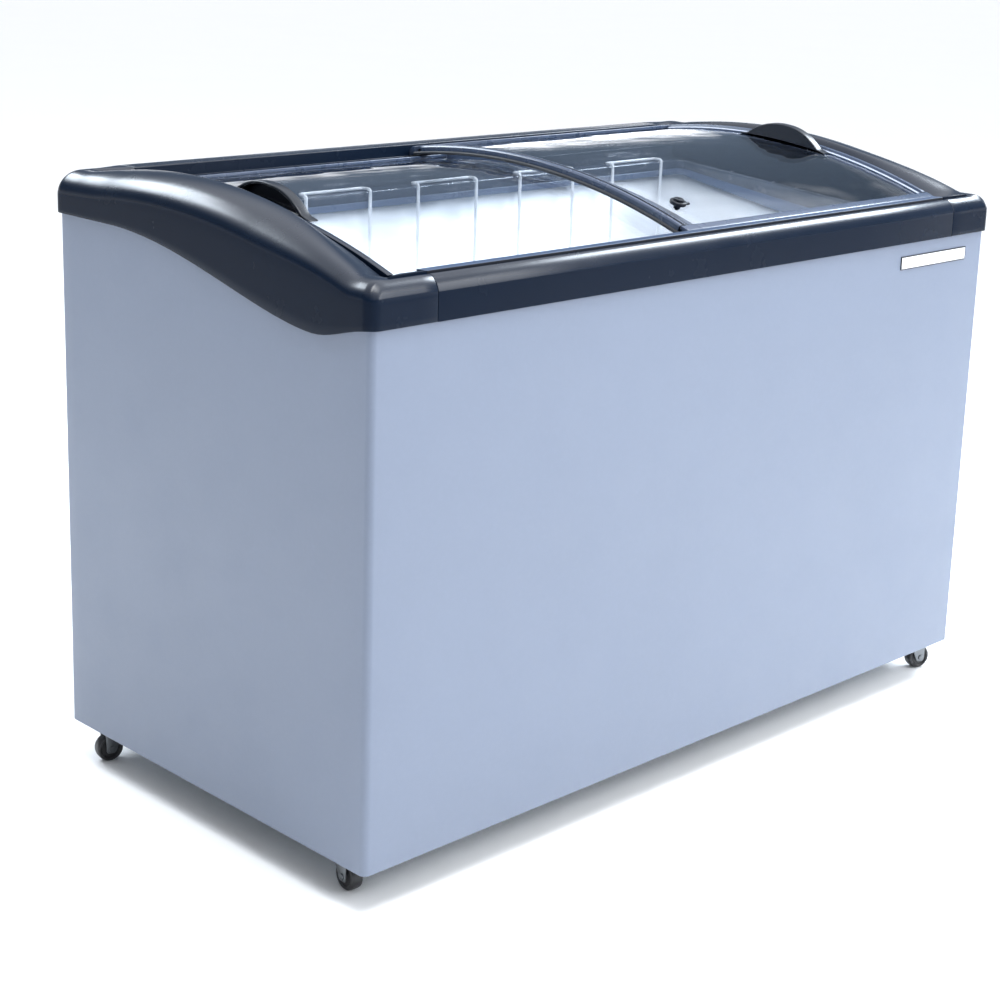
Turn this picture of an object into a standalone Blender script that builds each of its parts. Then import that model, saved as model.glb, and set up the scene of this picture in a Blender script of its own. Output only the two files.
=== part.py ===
"""Chest freezer for ice cream, with two curved glass sliding lids.

Metres, +Z up.  X runs along the width, -Y is the customer side, Z = 0 is the floor.
The origin is the middle of the footprint, on the floor.
"""
import math

import bmesh
import bpy
from mathutils import Matrix, Vector

# ---------------------------------------------------------------- driving sizes
NAME = "chest_freezer"
W2 = 0.645            # half the cabinet width
D2 = 0.330            # half the cabinet depth
CAP = 0.006           # how far the end caps stand outside the cabinet
LIP = 0.005           # how far the rails stand outside the cabinet
Z_BASE = 0.058        # underside of the cabinet
SHEET = 0.0015        # outer sheet metal
GAP = 0.0003          # running gap between touching pieces
CORNER_R = 0.010      # vertical front corners of the wrapper
FLANGE_R, FLANGE = 0.010, 0.012   # the wrapper's bend and return flange at the back

# crown of the top: one long arc across the depth
ARC_R, ARC_Y, ARC_Z = 1.15, 0.105, 0.8825

SEAM_X = 0.545        # joint between an end cap and the rails
XO = W2 + CAP         # outer face of an end cap
XI = 0.572            # inner face of an end cap
YF, YR = -(D2 + LIP), D2 + LIP
YFI, YRI = -0.294, 0.292   # inner edges of the front and rear bands

LINER_X, LINER_Y0, LINER_Y1 = 0.570, -0.245, 0.250
LINER_T = 0.0012
LINER_Z0 = 0.115
STEP_X, STEP_Z = 0.300, 0.345
COIL_GAP = 0.0108

UP_TOP, UP_GLASS, UP_BOT = 0.004, 0.010, 0.018     # depths below the crown arc
LO_TOP, LO_GLASS, LO_BOT = 0.020, 0.025, 0.034
GLASS_T = 0.004
LEFT_X0, LEFT_X1 = -0.562, 0.027
RIGHT_X0, RIGHT_X1 = -0.035, 0.560
SLIDE = 0.480

BASKET_N, BASKET_PITCH, BASKET_W = 5, 0.222, 0.208
BASKET_Z0, BASKET_Z1 = 0.385, 0.605
BASKET_Y0, BASKET_Y1 = -0.218, 0.2403
WIRE_R = 0.0026

WHEEL_R, WHEEL_W, TRAIL = 0.020, 0.018, 0.012
CASTERS = {            # name: (x, y, direction the wheel trails, degrees)
    "fl": (-0.602, -0.241, -95.0),
    "rl": (-0.602, 0.279, 168.0),
    "fr": (0.615, -0.280, -20.0),
    "rr": (0.602, 0.279, 20.0),
}


def crown(y):
    """Height of the crown arc."""
    return ARC_Z - (ARC_R - math.sqrt(ARC_R ** 2 - (y - ARC_Y) ** 2))


def body_top(y):
    """Sloping top of the cabinet walls."""
    return 0.787 + 0.0758 * y


def collar_foot(y):
    """Lower edge of the dark breaker collar."""
    return 0.7415 + 0.166 * y


def smooth(t):
    t = min(1.0, max(0.0, t))
    return t * t * (3 - 2 * t)


def skirt(y):
    """Lower edge of an end cap along the side: a shallow S that dips near the front."""
    if y >= -0.23:
        return 0.735 + 0.073 * smooth(min(1.0, (y + 0.23) / 0.43) ** 0.85)
    return 0.735 + 0.019 * smooth((-0.23 - y) / 0.105)


def sheet_top(x, y):
    """Top of the wrapped sheet: it stays behind the skirt of the end caps."""
    return max(body_top(y), skirt(y) + 0.005) if abs(x) > W2 - 0.0005 and y > -0.2 else body_top(y)


# ---------------------------------------------------------------- scene and helpers
for old in list(bpy.data.objects):
    bpy.data.objects.remove(old, do_unlink=True)

parts = bpy.data.collections.new(NAME)
cutters = bpy.data.collections.new(NAME + "_cutters")
bpy.context.scene.collection.children.link(parts)
bpy.context.scene.collection.children.link(cutters)

MATS = {}


def material(name, color, rough, metal=0.0, alpha=1.0):
    m = bpy.data.materials.new(name)
    m.use_nodes = True
    b = m.node_tree.nodes["Principled BSDF"]
    b.inputs["Base Color"].default_value = (*color, 1.0)
    b.inputs["Roughness"].default_value = rough
    b.inputs["Metallic"].default_value = metal
    b.inputs["Alpha"].default_value = alpha
    MATS[name] = m
    return m


material("cabinet_paint", (0.50, 0.58, 0.72), 0.35)
material("frame_plastic", (0.075, 0.09, 0.12), 0.30)
material("collar_plastic", (0.13, 0.16, 0.20), 0.40)
material("liner_white", (0.88, 0.90, 0.93), 0.40)
material("foam", (0.85, 0.80, 0.62), 0.90)
material("galvanised", (0.55, 0.57, 0.60), 0.45, 0.9)
material("lid_glass", (0.80, 0.86, 0.90), 0.03, 0.0, 0.25)
material("lid_profile", (0.24, 0.27, 0.32), 0.30)
material("black_plastic", (0.018, 0.018, 0.020), 0.40)
material("seal_rubber", (0.015, 0.015, 0.017), 0.70)
material("basket_wire", (0.90, 0.91, 0.93), 0.35)
material("caster_steel", (0.20, 0.21, 0.22), 0.35, 0.8)
material("caster_wheel", (0.02, 0.02, 0.022), 0.55)
material("badge_white", (0.85, 0.86, 0.88), 0.35)
material("machine_black", (0.03, 0.03, 0.032), 0.45)
material("copper", (0.72, 0.38, 0.24), 0.35, 1.0)


def link(name, mesh, mat, collection=None):
    ob = bpy.data.objects.new(name, mesh)
    (collection or parts).objects.link(ob)
    if mat:
        mesh.materials.clear()
        mesh.materials.append(MATS[mat])
    return ob


def from_bmesh(name, bm, mat=None, collection=None):
    bmesh.ops.recalc_face_normals(bm, faces=bm.faces)
    me = bpy.data.meshes.new(name)
    bm.to_mesh(me)
    bm.free()
    return link(name, me, mat, collection)


def as_cutter(ob):
    for c in list(ob.users_collection):
        c.objects.unlink(ob)
    cutters.objects.link(ob)
    ob.hide_render = True
    ob.display_type = "WIRE"
    return ob


def box(name, lo, hi, mat=None):
    """A box between two corners."""
    bm = bmesh.new()
    bmesh.ops.create_cube(bm, size=1.0)
    lo, hi = Vector(lo), Vector(hi)
    for v in bm.verts:
        v.co = Vector(((v.co.x + 0.5), (v.co.y + 0.5), (v.co.z + 0.5)))
        v.co = Vector((lo.x + v.co.x * (hi.x - lo.x), lo.y + v.co.y * (hi.y - lo.y),
                       lo.z + v.co.z * (hi.z - lo.z)))
    return from_bmesh(name, bm, mat)


def wedge(name, x, y, low, high, mat=None):
    """A box over x and y whose underside and top follow two functions of y."""
    ob = box(name, (x[0], y[0], 0), (x[1], y[1], 1), mat)
    for v in ob.data.vertices:
        v.co.z = high(v.co.y) if v.co.z > 0.5 else low(v.co.y)
    return ob


def cyl(name, a, b, r, mat=None, seg=24, r2=None):
    """A cylinder or cone from a to b."""
    a, b = Vector(a), Vector(b)
    bm = bmesh.new()
    bmesh.ops.create_cone(bm, cap_ends=True, segments=seg, radius1=r, radius2=r if r2 is None else r2,
                          depth=(b - a).length)
    m = Matrix.Translation((a + b) / 2) @ (b - a).to_track_quat("Z", "Y").to_matrix().to_4x4()
    bmesh.ops.transform(bm, matrix=m, verts=bm.verts)
    ob = from_bmesh(name, bm, mat)
    soft(ob)
    return ob


def soft(ob, angle=35):
    ob.data.shade_smooth()
    ob.data.set_sharp_from_angle(angle=math.radians(angle))


def extrude_x(name, pts, x0, x1, mat=None):
    """A flat outline of (y, z) points, extruded from x0 to x1."""
    bm = bmesh.new()
    face = bm.faces.new([bm.verts.new((x0, y, z)) for y, z in pts])
    moved = bmesh.ops.extrude_face_region(bm, geom=[face])["geom"]
    bmesh.ops.translate(bm, vec=(x1 - x0, 0, 0), verts=[g for g in moved if isinstance(g, bmesh.types.BMVert)])
    return from_bmesh(name, bm, mat)


def add(ob, other, op="UNION", keep=False):
    """A Boolean between ob and other; other goes with the cutters."""
    as_cutter(other)
    m = ob.modifiers.new(op.lower() + "_" + other.name, "BOOLEAN")
    m.operation, m.solver, m.object = op, "EXACT", other
    return ob


def cut(ob, other):
    return add(ob, other, "DIFFERENCE")


def bevel(ob, width, segments=2, angle=40):
    m = ob.modifiers.new("bevel", "BEVEL")
    m.width, m.segments, m.limit_method, m.angle_limit = width, segments, "ANGLE", math.radians(angle)
    return ob


def final_mesh(ob):
    """The evaluated mesh of ob, in world space."""
    bpy.context.view_layer.update()
    dg = bpy.context.evaluated_depsgraph_get()
    me = bpy.data.meshes.new_from_object(ob.evaluated_get(dg))
    me.transform(ob.matrix_world)
    return me


def wire(name, pts, r, mat=None, res=2, cyclic=False):
    """A tube along a POLY path, as a mesh with welded caps."""
    cu = bpy.data.curves.new(name, "CURVE")
    cu.dimensions = "3D"
    cu.bevel_depth, cu.bevel_resolution, cu.use_fill_caps = r, res, True
    sp = cu.splines.new("POLY")
    sp.points.add(len(pts) - 1)
    for p, q in zip(sp.points, pts):
        p.co = (*q, 1.0)
    sp.use_cyclic_u = cyclic
    ob = bpy.data.objects.new(name + "_path", cu)
    parts.objects.link(ob)
    bpy.context.view_layer.update()
    me = bpy.data.meshes.new_from_object(ob.evaluated_get(bpy.context.evaluated_depsgraph_get()))
    world = ob.matrix_world.copy()
    bpy.data.objects.remove(ob)
    bm = bmesh.new()
    bm.from_mesh(me)
    bpy.data.meshes.remove(me)
    bmesh.ops.remove_doubles(bm, verts=bm.verts, dist=0.00002)
    made = from_bmesh(name, bm, mat)
    made.matrix_world = world
    return made


def rounded(pts, r, n=3):
    """A polyline with its corners replaced by short arcs of n + 1 points."""
    out = [Vector(pts[0])]
    for a, b, c in zip(pts, pts[1:], pts[2:]):
        a, b, c = Vector(a), Vector(b), Vector(c)
        u, v = (a - b).normalized(), (c - b).normalized()
        k = min(r, (a - b).length * 0.49, (c - b).length * 0.49)
        p, q = b + u * k, b + v * k
        for i in range(n + 1):
            t = i / n
            out.append(p.lerp(b, t).lerp(b.lerp(q, t), t))
    out.append(Vector(pts[-1]))
    return out


def shell_outline(pts, t):
    """A closed outline: an open (y, z) line and the same line set in by t on its right-hand side."""
    inner = []
    for i, p in enumerate(pts):
        p = Vector(p)
        dirs = []
        if i:
            dirs.append((p - Vector(pts[i - 1])).normalized())
        if i < len(pts) - 1:
            dirs.append((Vector(pts[i + 1]) - p).normalized())
        normals = [Vector((d.y, -d.x)) for d in dirs]
        n = sum(normals, Vector((0, 0)))
        n.normalize()
        inner.append(p + n * (t / max(0.3, n.dot(normals[0]))))
    return [Vector(p) for p in pts] + inner[::-1]


def loft(name, loops, mat):
    """Closed loops of equal length joined in order, with both ends closed."""
    bm = bmesh.new()
    rows = [[bm.verts.new(p) for p in loop] for loop in loops]
    n = len(loops[0])
    for a, b in zip(rows, rows[1:]):
        for i in range(n):
            bm.faces.new((a[i], a[(i + 1) % n], b[(i + 1) % n], b[i]))
    bm.faces.new(rows[0])
    bm.faces.new(rows[-1][::-1])
    return from_bmesh(name, bm, mat)


def mix(a, b, t):
    return a + (b - a) * t


# ---------------------------------------------------------------- cabinet
def wrapper_path():
    """Plan of the wrapped sheet: rear left, round both front corners, rear right."""
    pts = [(-W2 + FLANGE, D2)]
    for k in range(5):
        a = math.pi / 2 + k / 4 * math.pi / 2
        pts.append((-W2 + FLANGE_R + FLANGE_R * math.cos(a), D2 - FLANGE_R + FLANGE_R * math.sin(a)))
    pts += [(-W2, y) for y in (0.300, 0.260, 0.230, 0.200, 0.170, 0.140, 0.110, 0.080, 0.050, 0.020)]
    for k in range(7):
        a = math.pi + k / 6 * math.pi / 2
        pts.append((-W2 + CORNER_R + CORNER_R * math.cos(a), -D2 + CORNER_R + CORNER_R * math.sin(a)))
    return pts + [(-x, y) for x, y in reversed(pts)]


bm = bmesh.new()
path = [bm.verts.new((x, y, Z_BASE)) for x, y in wrapper_path()]
edges = [bm.edges.new((a, b)) for a, b in zip(path, path[1:])]
up = bmesh.ops.extrude_edge_only(bm, edges=edges)["geom"]
bmesh.ops.translate(bm, vec=(0, 0, 1), verts=[g for g in up if isinstance(g, bmesh.types.BMVert)])
me = bpy.data.meshes.new("outer_wrapper")
bm.to_mesh(me)
bm.free()
for v in me.vertices:
    if v.co.z > 0.5:
        v.co.z = sheet_top(v.co.x, v.co.y)
wrapper = link("outer_wrapper", me, "cabinet_paint")
m = wrapper.modifiers.new("sheet", "SOLIDIFY")
m.thickness, m.offset, m.use_even_offset = SHEET, -1.0, True
soft(wrapper)
# the sheet's thickness goes inwards, so its faces look out
me.update()
if sum(p.normal.x * p.center.x + p.normal.y * p.center.y for p in me.polygons) < 0:
    me.flip_normals()

base = box("base_plate", (-W2 + SHEET + GAP, -D2 + SHEET + GAP, Z_BASE),
           (W2 - SHEET - GAP, D2 - 0.0018, Z_BASE + 0.002), "galvanised")
for sx in (-1, 1):
    cut(base, box("base_notch_%d" % sx, (min(sx * W2, sx * (W2 - CORNER_R)), -D2, 0), (max(sx * W2, sx * (W2 - CORNER_R)), -D2 + CORNER_R, 0.2)))
    cut(base, box("base_rear_notch_%d" % sx, (min(sx * W2, sx * (W2 - FLANGE_R)), D2 - FLANGE_R, 0), (max(sx * W2, sx * (W2 - FLANGE_R)), D2, 0.2)))

rear = wedge("rear_panel", (-W2 + FLANGE + GAP, W2 - FLANGE - GAP), (D2 - 0.0015, D2 - GAP),
             lambda y: Z_BASE, lambda y: body_top(y) - 0.001, "galvanised")
cut(rear, box("grille_window", (0.375, 0.2, 0.075), (0.625, 0.4, 0.300)))

# foamed walls
foam = wedge("insulation_foam", (-W2 + SHEET + GAP, W2 - SHEET - GAP), (-D2 + SHEET + GAP, D2 - 0.0018),
             lambda y: Z_BASE + 0.002 + GAP, lambda y: body_top(y) - GAP, "foam")
for sx in (-1, 1):
    cut(foam, box("foam_notch_%d" % sx, (min(sx * W2, sx * (W2 - CORNER_R)), -D2, 0), (max(sx * W2, sx * (W2 - CORNER_R)), -D2 + CORNER_R, 1)))
    cut(foam, box("foam_rear_notch_%d" % sx, (min(sx * W2, sx * (W2 - FLANGE_R)), D2 - FLANGE_R, 0), (max(sx * W2, sx * (W2 - FLANGE_R)), D2, 1)))
cx, cy0, cy1 = LINER_X + LINER_T + COIL_GAP, LINER_Y0 - LINER_T - COIL_GAP, LINER_Y1 + LINER_T + COIL_GAP
cut(foam, box("foam_room_1", (-cx, cy0, LINER_Z0 - LINER_T - 0.001), (STEP_X + 0.012, cy1, 1)))
cut(foam, box("foam_room_2", (STEP_X, cy0, STEP_Z - LINER_T - 0.001), (cx, cy1, 1)))
cut(foam, box("foam_machine_room", (0.345, -0.250, 0), (1, 1, 0.305)))

# liner: a thin tub with a step over the machine room
liner = wedge("inner_liner", (-LINER_X - LINER_T, LINER_X + LINER_T), (LINER_Y0 - LINER_T, LINER_Y1 + LINER_T),
              lambda y: LINER_Z0 - LINER_T, lambda y: collar_foot(y) - GAP, "liner_white")
cut(liner, box("liner_under_step", (STEP_X + LINER_T, -1, 0), (1, 1, STEP_Z - LINER_T)))
cut(liner, box("liner_room_1", (-LINER_X, LINER_Y0, LINER_Z0), (STEP_X, LINER_Y1, 1)))
cut(liner, box("liner_room_2", (STEP_X - 0.1, LINER_Y0, STEP_Z), (LINER_X, LINER_Y1, 1)))

# evaporator: a tube wound round the outside of the liner
ex, ey0, ey1 = LINER_X + LINER_T + COIL_GAP / 2, LINER_Y0 - LINER_T - COIL_GAP / 2, LINER_Y1 + LINER_T + COIL_GAP / 2
turns, ring = 3, [(-ex, ey1), (-ex, ey0), (ex, ey0), (ex, ey1)]
pts = []
for k in range(turns * 4):
    x, y = ring[k % 4]
    pts.append((x, y, 0.430 + 0.075 * k / 4))
evap = wire("evaporator_coil", rounded(pts, 0.004, 2), 0.004, "copper")
soft(evap)

# breaker collar: dark ring above the liner, with ledges for the baskets
collar = wedge("breaker_collar", (-0.600, 0.600), (-0.290, 0.300), lambda y: body_top(y) + GAP,
               lambda y: body_top(y) + 0.0025, "collar_plastic")
add(collar, wedge("collar_wall", (-0.5725, 0.5725), (-0.2475, 0.2525), collar_foot, lambda y: body_top(y) + 0.0020))
cut(collar, box("collar_opening", (-0.564, -0.222, 0), (0.564, 0.244, 1)))
add(collar, wedge("collar_web_front", (-0.5700, 0.5700), (-0.2730, -0.2700), lambda y: body_top(y) + 0.001, lambda y: 0.7770))
add(collar, wedge("collar_web_rear", (-0.5700, 0.5700), (0.2680, 0.2710), lambda y: body_top(y) + 0.001, lambda y: 0.8300))


# ---------------------------------------------------------------- top frame
def band(a0, rh, rv, n=5):
    """The rounded shoulder of a top band: (inward distance, rise) from its lower crease to its ridge."""
    out = []
    for k in range(1, n + 1):
        a = mix(a0, math.pi / 2, k / n)
        out.append((rh * (math.cos(a0) - math.cos(a)) / math.cos(a0), rv * (math.sin(a) - math.sin(a0)) / (1 - math.sin(a0))))
    return out


FRONT_A0, FRONT_RH, FRONT_RV, FRONT_CREASE = math.radians(30), 0.018, 0.0195, 0.7905
front_line = [(YF, 0.754), (YF, FRONT_CREASE)]
front_line += [(YF + u, FRONT_CREASE + v) for u, v in band(FRONT_A0, FRONT_RH, FRONT_RV)]
front_line += [(-0.317, 0.8065), (-0.3135, 0.8065), (-0.3135, 0.8130), (YFI, 0.8120), (YFI, 0.7925),
               (-0.2835, 0.7925), (-0.2835, 0.7800), (-0.2655, 0.7800), (-0.2655, 0.7750)]
fr = extrude_x("front_rail", shell_outline(front_line, 0.0024), -SEAM_X + GAP, SEAM_X - GAP, "frame_plastic")
soft(fr, 25)

rear_line = [(YR, 0.808), (YR, 0.8545)] + [(YR - u, 0.8545 + v) for u, v in band(0.0, 0.014, 0.012, 4)]
rear_line += [(YRI, 0.8665), (YRI, 0.8485), (0.279, 0.8485), (0.279, 0.8335), (0.262, 0.8335), (0.262, 0.8290)]
rear_line = [(-y, z) for y, z in rear_line]          # drawn facing -Y so the inside is on the right
outline = [(-p[0], p[1]) for p in shell_outline(rear_line, 0.0024)]
rr = extrude_x("rear_rail", outline, -SEAM_X + GAP, SEAM_X - GAP, "frame_plastic")
soft(rr, 25)


def cap_loops(sx):
    """Sections of one end cap: from the rear seam, round the rear corner, along the side, round the front corner."""
    stations = []                      # outer point, inner point, share of rear shape, share of front shape
    ro_r, ro_f, ri = FLANGE_R + CAP, CORNER_R + CAP, 0.004
    for k, x in enumerate((SEAM_X, 0.566, 0.590, 0.613)):
        stations.append(((x, YR), (mix(SEAM_X, XI - ri, k / 4), YRI), 1 - smooth(k / 4), 0.0))
    for k in range(7):
        a = math.radians(90 - 90 * k / 6)
        o = (XO - ro_r + ro_r * math.cos(a), YR - ro_r + ro_r * math.sin(a))
        i = (XI - ri + ri * math.cos(a), YRI - ri + ri * math.sin(a))
        stations.append((o, i, 0.0, 0.0))
    y_a, y_b = YR - ro_r, YF + ro_f
    i_a, i_b = YRI - ri, YFI + ri
    for k in range(1, 14):
        t = k / 14
        stations.append(((XO, mix(y_a, y_b, t)), (XI, mix(i_a, i_b, t)), 0.0, 0.0))
    for k in range(8):
        a = math.radians(-90 * k / 7)
        o = (XO - ro_f + ro_f * math.cos(a), YF + ro_f + ro_f * math.sin(a))
        i = (XI - ri + ri * math.cos(a), YFI + ri + ri * math.sin(a))
        stations.append((o, i, 0.0, smooth(k / 7)))
    stations.append(((SEAM_X, YF), (SEAM_X, YFI), 0.0, 1.0))
    th = 0.0032
    loops = []
    for o, i, rs, fs in stations:
        o, i = Vector(o), Vector(i)
        w = (i - o).length
        d = (i - o) / w
        skirt_t = mix(CAP, LIP, max(abs(d.y) ** 2, rs, fs)) - 0.0005
        y = o.y
        top = crown(max(-0.292, min(0.300, y)))
        top = mix(mix(top, 0.8665, rs), FRONT_CREASE + FRONT_RV, fs)
        low = mix(skirt(y) if y < 0.2 else 0.808, 0.754, fs)
        a0 = FRONT_A0 * fs
        rear_turn = smooth((y - 0.22) / 0.10)
        near = 0.75 * smooth((-0.09 - y) / 0.21)      # the shoulder tightens towards the front corner
        rh = mix(mix(mix(0.058, 0.034, rear_turn), 0.014, rs), FRONT_RH, near)
        if y < -0.1:                                  # the side and front ridges meet in a mitre
            side_u = (rh - (XO - o.x)) / abs(d.x) if abs(d.x) > 0.05 else 0.0
            front_u = (FRONT_RH - (y - YF)) / abs(d.y) if abs(d.y) > 0.05 else 0.0
            rh = min(max(side_u, front_u, 0.012), w * 0.75)
        near += (1 - near) * fs
        rv = mix(mix(mix(0.040, 0.034, rear_turn), 0.012, rs), FRONT_RV, near)
        drop = mix(mix(0.012, 0.0005, rs), 0.002, fs)
        outer = [(0.0, low), (0.0, top - rv)] + [(u, top - rv + v) for u, v in band(a0, rh, rv)]
        outer += [(mix(rh, w, 0.55), top - drop * 0.35), (w - 0.0025, top - drop * 0.92), (w, top - drop - 0.0020)]
        outer += [(w, body_top(i.y) + 0.0028)]
        inner = []
        for k, (u, z) in enumerate(outer):
            if k == 0:
                inner.append((skirt_t, z))
            elif k == 1:
                inner.append((skirt_t, z - 0.0005))
            elif k == len(outer) - 1:
                inner.append((w - th, z))
            elif k == len(outer) - 2:
                inner.append((w - th, z - 0.0022))
            elif k == len(outer) - 3:
                inner.append((w - th * 1.25, z - th))
            else:
                inner.append((max(skirt_t, mix(skirt_t, w - th * 1.4, (u / w))), z - th))
        loops.append([Vector((sx * (o + d * u).x, (o + d * u).y, z)) for u, z in outer + inner[::-1]])
    return loops


for name, sx in (("left_end_cap", -1), ("right_end_cap", 1)):
    cap = loft(name, cap_loops(sx), "frame_plastic")
    soft(cap, 30)


# ---------------------------------------------------------------- lids
def arc_bar(name, x0, x1, y0, y1, d0, d1, mat, n=16):
    """A bar that follows the crown arc, from y0 to y1 and between two depths below it."""
    ys = [mix(y0, y1, k / n) for k in range(n + 1)]
    return extrude_x(name, [(y, crown(y) - d0) for y in ys] + [(y, crown(y) - d1) for y in reversed(ys)], x0, x1, mat)


def normal_at(y):
    """Unit normal of the crown arc, in the YZ plane."""
    n = Vector((0, y - ARC_Y, math.sqrt(ARC_R ** 2 - (y - ARC_Y) ** 2)))
    return n.normalized()


def on_arc(x, y, h, depth=0.0):
    """A point h above the curve that lies depth below the crown arc, along the arc's normal."""
    return Vector((x, y, crown(y) - depth)) + normal_at(y) * h


UY0, UY1 = -0.2925, 0.291      # upper lid
LY0, LY1 = -0.282, 0.278      # lower lid
lower = [("left_lid_front_profile", LEFT_X0, LEFT_X1, LY0, -0.269), ("left_lid_rear_profile", LEFT_X0, LEFT_X1, 0.263, LY1)]
for name, x0, x1, y0, y1 in lower:
    arc_bar(name, x0, x1, y0, y1, LO_TOP, LO_BOT, "lid_profile", 2)
soft(arc_bar("left_lid_outer_profile", LEFT_X0, LEFT_X0 + 0.010, -0.269 + GAP, 0.263 - GAP, LO_TOP, LO_BOT, "lid_profile"))
soft(arc_bar("left_lid_inner_profile", LEFT_X1 - 0.010, LEFT_X1, -0.269 + GAP, 0.263 - GAP, LO_TOP, LO_BOT, "lid_profile"))
soft(arc_bar("left_lid_glass", LEFT_X0 + 0.010 + GAP, LEFT_X1 - 0.010 - GAP, -0.269 + GAP, 0.263 - GAP,
             LO_GLASS, LO_GLASS + GLASS_T, "lid_glass", 20))
for name, y0, y1 in (("right_lid_front_profile", UY0, -0.2715), ("right_lid_rear_profile", 0.266, UY1)):
    arc_bar(name, RIGHT_X0, RIGHT_X1, y0, y1, UP_TOP, UP_BOT, "lid_profile", 2)
soft(arc_bar("right_lid_centre_bar", RIGHT_X0, RIGHT_X0 + 0.018, -0.2715 + GAP, 0.266 - GAP, UP_TOP, UP_BOT, "lid_profile"))
soft(arc_bar("right_lid_bar_seal", RIGHT_X0 - 0.0035, RIGHT_X0 - GAP, -0.281, 0.280, UP_BOT - 0.0055, UP_BOT + 0.0005, "seal_rubber"))
soft(arc_bar("right_lid_outer_profile", RIGHT_X1 - 0.012, RIGHT_X1, -0.2715 + GAP, 0.266 - GAP, UP_TOP, UP_BOT, "lid_profile"))
up_glass = arc_bar("right_lid_glass", RIGHT_X0 + 0.018 + GAP, RIGHT_X1 - 0.012 - GAP, -0.2715 + GAP, 0.266 - GAP,
                   UP_GLASS, UP_GLASS + GLASS_T, "lid_glass", 20)

# lock through the upper glass
LOCK_X, LOCK_Y = 0.035, -0.205


def lock_at(h):
    """A point on the lock's axis, h above the top of the upper glass."""
    return on_arc(LOCK_X, LOCK_Y, h, UP_GLASS)


cut(up_glass, cyl("lock_hole", lock_at(0.03), lock_at(-0.03), 0.0055, seg=16))
soft(up_glass)
lock = cyl("lock_body", lock_at(GAP + 0.0060), lock_at(GAP), 0.0125, "black_plastic")
for k, dy in enumerate((-0.006, 0.006)):
    tab = box("lock_tab_%d" % k, (0.0095, dy - 0.0022, GAP + 0.0006), (0.0175, dy + 0.0022, GAP + 0.0042))
    tab.matrix_world = Matrix.Translation(lock_at(0)) @ Matrix.Rotation(math.atan2(normal_at(LOCK_Y).z, normal_at(LOCK_Y).y) - math.pi / 2, 4, "X")
    add(lock, tab)
add(lock, cyl("lock_stem", lock_at(0.0030), lock_at(-0.0062), 0.0050, seg=16))
cut(lock, cyl("lock_bore", lock_at(0.03), lock_at(-0.03), 0.0030, seg=16))
cut(lock, cyl("lock_counterbore", lock_at(0.03), lock_at(0.0025), 0.0079))
plunger = cyl("lock_plunger", lock_at(0.0092), lock_at(0.0052), 0.0075, "black_plastic")
add(plunger, cyl("lock_pin", lock_at(0.0070), lock_at(-0.0080), 0.0026, seg=16))
keyway = box("lock_keyway", (-0.0030, -0.0008, -0.001), (0.0030, 0.0008, 0.003))
keyway.matrix_world = Matrix.Translation(lock_at(0.0082)) @ normal_at(LOCK_Y).to_track_quat("Z", "Y").to_matrix().to_4x4()
cut(plunger, keyway)


# half-moon pull handles
HANDLE_Y, HANDLE_HALF, HANDLE_H, HANDLE_W = -0.002, 0.077, 0.028, 0.016


def handle(name, x0, x1, depth, pocket_low):
    """A half-moon grip that stands on the glass, with its finger pocket on one side."""
    n = 14
    arch = []
    for k in range(n + 1):
        u = -1 + 2 * k / n
        h = HANDLE_H * (1 - abs(u) ** 2.3)
        arch.append((HANDLE_Y + HANDLE_HALF * u, max(0.0026, h)))
    outer = [(HANDLE_Y - HANDLE_HALF - 0.012, 0.0), (HANDLE_Y - HANDLE_HALF - 0.012, 0.0024)] + arch
    outer += [(HANDLE_Y + HANDLE_HALF + 0.012, 0.0024), (HANDLE_Y + HANDLE_HALF + 0.012, 0.0)]
    outer += [(mix(HANDLE_Y + HANDLE_HALF, HANDLE_Y - HANDLE_HALF, k / 6), 0.0) for k in range(7)]
    pts = [on_arc(0, y, h + GAP, depth) for y, h in outer]
    ob = extrude_x(name, [(p.y, p.z) for p in pts], x0, x1, "black_plastic")
    pocket = []
    for k in range(11):
        u = -1 + 2 * k / 10
        pocket.append((HANDLE_Y + (HANDLE_HALF - 0.012) * u, 0.0030 + (HANDLE_H - 0.0070) * (1 - abs(u) ** 2.3) + 0.0004))
    pts = [on_arc(0, y, h + GAP, depth) for y, h in pocket]
    web = 0.0035
    px0, px1 = (x0 - 0.01, x1 - web) if pocket_low else (x0 + web, x1 + 0.01)
    cut(ob, extrude_x(name + "_pocket", [(p.y, p.z) for p in pts], px0, px1))
    soft(ob, 30)
    return ob


handle("left_lid_handle", -0.545, -0.545 + HANDLE_W, LO_GLASS, True)
handle("right_lid_handle", 0.545 - HANDLE_W, 0.545, UP_GLASS, False)

# ---------------------------------------------------------------- badge
box("badge_plate", (0.418, -D2 - 0.0018, 0.7125), (0.593, -D2 - GAP, 0.7332), "badge_white")

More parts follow.
